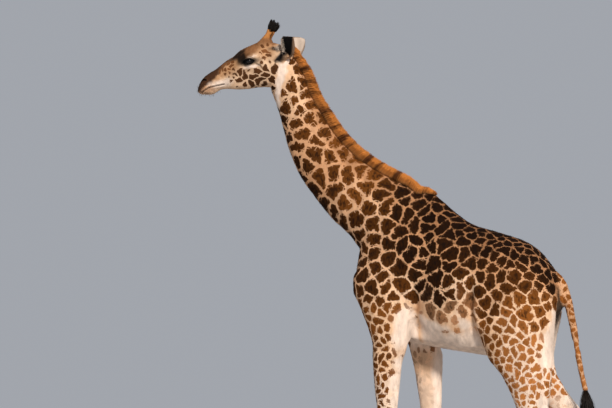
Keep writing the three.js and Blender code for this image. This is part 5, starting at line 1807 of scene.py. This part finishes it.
def coat_density(points):
    """Where tufts grow: thin on face and feet, none on lids, lips and nostrils, thick along the outlines."""
    z = points[:, 2]
    eyes = from_eyes(points)
    flat = in_head(points)[:, 1:]
    lips, _ = path_distance(flat, MOUTH_LINE)
    nose, _ = path_distance(flat, NOSTRIL_PATH)
    bare = (eyes < 0.048) | ((np.minimum(lips, nose) < 0.012) & (beyond(points, POLL_PLANE) > 0)) | (z < 0.09)
    return np.where(bare, 0.0, 1 + 1.2 * bump_at(in_body(points)[:, 0], 0.05))


def density_in(part, points):
    return coat_density(points) * (coat_part(points) == part)


def turn_of(across, up):
    """The turn round an axis, from 0 to 1."""
    return np.arctan2(across, up) / (2 * math.pi) + 0.5


def unwrapped(points, part):
    """Every place's spot on the skin laid flat round the part's own axis."""
    x, y, z = in_body(points).T
    if part == 3:
        across, ahead, height = in_head(points).T
        flat = columns(turn_of(across, height - 3.46) * 0.7, (ahead + 0.1) / 0.7)
        for number, side in enumerate(SIDES):
            share, wide, out = ear_place(points, side)
            on_ear = (share > 0.2) & (share < 1.2) & (np.abs(wide) < 0.09) & (np.abs(out) < 0.06)
            across = np.where(out > 0, wide + 0.08, 0.30 - wide)
            ear = columns(0.72 + across * 0.6, 0.02 + share * 0.4 + 0.5 * number)
            flat = np.where(on_ear[:, None], ear, flat)
        return flat
    if part == 2:
        leg = 2 * (y > 0) + (x > 0)
        turn = turn_of(x - np.where(x > 0, 0.17, -0.17), y - np.where(y > 0, 0.6, -0.4))
        return columns((leg + 0.02 + 0.96 * turn) / 4, z / 1.7)
    if part == 1:
        along, over = neck_place(points)
        return columns(turn_of(x, over), along)
    tail = on_tail(points) > 0.5
    flat = columns(turn_of(x, z - 2.02) * 0.85, (y + 0.75) / 1.5)
    aside = columns(0.88 + x * 1.2 + 0.04, z / 2.2)
    return np.where(tail[:, None], aside, flat)


def build_coat():
    """Short flat tufts over the whole skin, in its own markings."""
    surface = Surface()
    coat = coat_material("giraffe_short_coat")
    chosen = settings("hair")
    for part, (name, portion, slot) in enumerate(COAT_PIECES):
        random = np.random.default_rng(90 + part)
        count = int(portion * chosen.coat_tufts)
        roots, normals, marks = surface.scattered(random, count, partial(density_in, part))
        small = (0.5 if part == 3 else 1.0) * (0.55 + 0.45 * ramp(roots[:, 2], 0.25, 0.8))
        if part == 3:
            small = small * (1 - 0.35 * ramp(in_head(roots)[:, 1], 0.35, 0.5))
        length = chosen.tuft_length * small * random.uniform(0.75, 1.25, count)
        rise = chosen.tuft_rise * random.uniform(0.2, 1.5, count)
        lie = lie_of(roots, normals)
        lie = unit(lie + 0.22 * random.normal(size=(count, 3)))
        tips = roots + lie * (length * np.cos(rise))[:, None] + normals * (length * np.sin(rise))[:, None]
        paths = columns(roots - normals * TUFT_SINK, tips)
        widths = chosen.tuft_half_width * small**0.5 * random.uniform(0.7, 1.2, count)
        flats = np.cross(lie, normals)
        fur, per, _ = blades(name, paths, flats, widths, widths * 0.16, np.array([1.0, 0.0]), normals)
        for key, values in marks.items():
            add_attribute(fur.data, key, np.repeat(values, per, axis=0))
        add_bake_map(fur, per, unwrapped(roots, part))
        finish_piece(fur, coat)


def build_face_hair():
    """Lashes, whiskers on the lips and chin, and long pale hair along the ears' front edges."""
    surface = Surface()
    random = np.random.default_rng(17)
    parts = []

    def add(roots, ways, bends, lengths, width, tint, place):
        path = roots[:, None] + ways[:, None] * (lengths[:, None] * HAIR_STEPS)[..., None]
        path += bends[:, None] * (lengths[:, None] * HAIR_STEPS**2)[..., None]
        flat = unit(np.cross(ways, random.normal(size=ways.shape)))
        widths = np.full(len(roots), width) * random.uniform(0.8, 1.2, len(roots))
        tints = np.array(tint) * np.exp(random.normal(0, 0.15, (len(roots), 1)))
        parts.append((path, flat, widths, tints, place))

    for number, side in enumerate(SIDES):
        centre, ahead, up, out = eye_frame(side)
        for upper, count, length in ((1, 150, 0.021), (-1, 60, 0.011)):
            share = random.uniform(-0.92, 0.98, count)
            across = share * LID["long"]
            if upper > 0:
                high = LID["high"] * (LID["upper"] * (1 - np.abs(share - 0.06) ** 3))
            else:
                high = LID["high"] * (-LID["lower"] * (1 - share**2))
            high += upper * random.uniform(0.0012, 0.0030, count)
            deep = np.sqrt(np.maximum((EYE_RADIUS + 0.005) ** 2 - across**2 - high**2, 1e-5))
            roots = centre + ahead * across[:, None] + up * high[:, None] + out * deep[:, None]
            ways = unit(
                out * 0.75 + up * (-0.30 * upper) + ahead * (0.20 + 0.65 * share[:, None])
                + 0.12 * random.normal(size=(count, 3))
            )
            bends = up * (0.10 * upper) + ahead * 0.1 + np.zeros((count, 3))
            lengths = length * random.uniform(0.75, 1.1, count) * (1 - 0.35 * share**2)
            place = columns(share * 0.1 + 0.15 + 0.3 * number, np.full(count, 0.1 + 0.1 * upper))
            add(roots, ways, bends, lengths, 0.0006, (0.008, 0.006, 0.005), place)

    roots, normals, _ = surface.scattered(random, 260, on_chin)
    ways = unit(normals * 0.9 + np.array([0, 0, -0.35]) + 0.25 * random.normal(size=normals.shape))
    lengths = random.uniform(0.008, 0.020, len(roots))
    bends = np.zeros_like(roots) + np.array([0, 0, -0.25])
    add(roots, ways, bends, lengths, 0.0004, (0.10, 0.06, 0.04), in_head(roots)[:, 1:] * [1, 0.5])

    for number, side in enumerate(SIDES):
        aim, across, face = ear_axes(side)
        roots, _, _ = surface.scattered(random, 900, partial(edge_of_ear, side))
        share = ear_place(roots, side)[0]
        ways = unit(aim * 0.75 - across * 0.45 + face * 0.22 + 0.16 * random.normal(size=roots.shape))
        lengths = random.uniform(0.012, 0.028, len(roots)) * (1.1 - 0.75 * share)
        bends = np.zeros_like(roots) - face * 0.25
        place = columns(share * 0.3 + 0.6, share + number)
        add(roots, ways, bends, lengths, 0.0005, (0.74, 0.62, 0.52), place)

    paths, flats, widths, tints, places = (np.concatenate(part) for part in zip(*parts))
    hair, per, _ = blades("face_hair", paths, flats, widths, widths * 0.7, np.array([0.9, 1.0, 0.7, 0.0]))
    add_attribute(hair.data, "tint", np.repeat(tints, per, axis=0))
    add_bake_map(hair, per, places)
    finish_piece(hair, hair_material("giraffe_face_hair", 0.5))


def on_chin(points):
    """Where the whiskers grow: the lips and the chin."""
    place = in_head(points)
    return (beyond(points, POLL_PLANE) > 0) * ramp(place[:, 1], 0.42, 0.5) * fade(place[:, 2], 3.34, 3.40)


def edge_of_ear(side, points):
    """Where the long pale hair grows: the front edge of an ear from its root to two thirds up."""
    share, wide, out = ear_place(points, side)
    half, middle = ear_shape(share)
    front = ramp((wide - middle) / half, 0.66, 0.9) * (np.abs(wide) < 0.09) * (np.abs(out) < 0.055)
    return front * ramp(share, 0.08, 0.2) * fade(share, 0.5, 0.75) + 1e-9


# ---------------- the stage

CAMERA_AIM = (0.256, 0.508, -0.944)  # from the left eye to the middle of the view


def build_stage():
    """A pale floor, a wide soft key light with a pale surround, and the camera on the animal's left."""
    chosen = settings("stage")
    made, tree, shader = material("stage_floor")
    fill_inputs(tree, shader, {"Base Color": (*chosen.floor_colour, 1), "Roughness": 0.9})
    bpy.ops.mesh.primitive_plane_add(size=chosen.floor_width, location=(MID_X, 0, 0))
    bpy.ops.object.transform_apply()
    floor = bpy.context.object
    floor.name = floor.data.name = "stage_floor"
    floor.data.materials.append(made)
    world = bpy.context.scene.world or bpy.data.worlds.new("surround")
    bpy.context.scene.world = world
    world.use_nodes = True
    light = {"Color": (0.80, 0.84, 0.92, 1), "Strength": chosen.surround}
    fill_inputs(world.node_tree, world.node_tree.nodes["Background"], light)
    bpy.ops.object.light_add(type="SUN")
    sun = bpy.context.object
    sun.name = "key_light"
    sun.data.energy = chosen.sun_power
    sun.data.angle = chosen.sun_size
    sun.data.color = (1.0, 0.93, 0.84)
    rise, turn = chosen.sun_rise, chosen.sun_turn
    way = Vector((math.cos(turn) * math.cos(rise), math.sin(turn) * math.cos(rise), math.sin(rise)))
    sun.rotation_euler = way.to_track_quat("Z", "Y").to_euler()
    bpy.ops.object.camera_add()
    camera = bpy.context.object
    camera.name = "side_camera"
    turn = chosen.camera_turn
    away = Vector((math.cos(turn), math.sin(turn), 0))
    aim = Vector(EYES["left"]) + Vector(CAMERA_AIM)
    camera.location = aim + away * chosen.camera_distance
    camera.rotation_euler = away.to_track_quat("Z", "Y").to_euler()
    camera.data.lens = chosen.lens
    camera.data.clip_end = 300
    bpy.context.scene.camera = camera
    bpy.context.scene.view_settings.view_transform = "Standard"


# ---------------- operators, panel and the run


class GIRAFFE_OT_stage(bpy.types.Operator):
    """Lay the floor and set the light and the camera"""

    bl_idname = "giraffe.stage"
    bl_label = "Stage"

    def execute(self, context):
        build_stage()
        return {"FINISHED"}


class GIRAFFE_OT_skin(bpy.types.Operator):
    """Join the flesh into one sculpted skin with its markings"""

    bl_idname = "giraffe.skin"
    bl_label = "Skin"

    def execute(self, context):
        build_skin()
        return {"FINISHED"}


class GIRAFFE_OT_eyes(bpy.types.Operator):
    """Set both eyeballs between their lids"""

    bl_idname = "giraffe.eyes"
    bl_label = "Eyes"

    def execute(self, context):
        for side in SIDES:
            build_eye(side)
        return {"FINISHED"}


class GIRAFFE_OT_hooves(bpy.types.Operator):
    """Round over the four cloven hooves"""

    bl_idname = "giraffe.hooves"
    bl_label = "Hooves"

    def execute(self, context):
        build_hooves()
        return {"FINISHED"}


class GIRAFFE_OT_ossicone_tufts(bpy.types.Operator):
    """Grow the black tufts of the ossicones"""

    bl_idname = "giraffe.ossicone_tufts"
    bl_label = "Ossicone tufts"

    def execute(self, context):
        for side in SIDES:
            build_horn_tuft(side)
        return {"FINISHED"}


class GIRAFFE_OT_mane(bpy.types.Operator):
    """Grow the mane along the crest of the skin"""

    bl_idname = "giraffe.mane"
    bl_label = "Mane"

    def execute(self, context):
        build_mane()
        return {"FINISHED"}


class GIRAFFE_OT_tail_tuft(bpy.types.Operator):
    """Grow the black tuft of the tail"""

    bl_idname = "giraffe.tail_tuft"
    bl_label = "Tail tuft"

    def execute(self, context):
        build_tail_tuft()
        return {"FINISHED"}


class GIRAFFE_OT_coat(bpy.types.Operator):
    """Cover the skin in its short coat"""

    bl_idname = "giraffe.coat"
    bl_label = "Short coat"

    def execute(self, context):
        build_coat()
        return {"FINISHED"}


class GIRAFFE_OT_face_hair(bpy.types.Operator):
    """Grow the lashes, the whiskers and the long hair of the ears"""

    bl_idname = "giraffe.face_hair"
    bl_label = "Lashes and ear hair"

    def execute(self, context):
        build_face_hair()
        return {"FINISHED"}


STEPS_IN_ORDER = "stage skin eyes hooves ossicone_tufts mane tail_tuft coat face_hair".split()


class GIRAFFE_PT_build(bpy.types.Panel):
    """The building steps in their order, with their settings"""

    bl_label = "Giraffe"
    bl_idname = "GIRAFFE_PT_build"
    bl_space_type = "VIEW_3D"
    bl_region_type = "UI"
    bl_category = "Giraffe"

    def draw(self, context):
        for step in STEPS_IN_ORDER:
            self.layout.operator("giraffe." + step)
        for group, kind in GROUPS.items():
            column = self.layout.column(heading=group.capitalize())
            for name in kind.__annotations__:
                column.prop(settings(group), name)


OPERATORS = [GIRAFFE_OT_stage, GIRAFFE_OT_skin, GIRAFFE_OT_eyes, GIRAFFE_OT_hooves, GIRAFFE_OT_ossicone_tufts]
OPERATORS += [GIRAFFE_OT_mane, GIRAFFE_OT_tail_tuft, GIRAFFE_OT_coat, GIRAFFE_OT_face_hair]


def register():
    for kind in [*GROUPS.values(), *OPERATORS, GIRAFFE_PT_build]:
        bpy.utils.register_class(kind)
    for group, kind in GROUPS.items():
        setattr(bpy.types.Scene, "giraffe_" + group, PointerProperty(type=kind))


def unregister():
    for group in GROUPS:
        delattr(bpy.types.Scene, "giraffe_" + group)
    for kind in [GIRAFFE_PT_build, *reversed(OPERATORS), *reversed(GROUPS.values())]:
        bpy.utils.unregister_class(kind)


def main():
    register()
    bpy.ops.giraffe.stage()
    bpy.ops.giraffe.skin()
    bpy.ops.giraffe.eyes()
    bpy.ops.giraffe.hooves()
    bpy.ops.giraffe.ossicone_tufts()
    bpy.ops.giraffe.mane()
    bpy.ops.giraffe.tail_tuft()
    bpy.ops.giraffe.coat()
    bpy.ops.giraffe.face_hair()


if __name__ == "__main__":
    main()
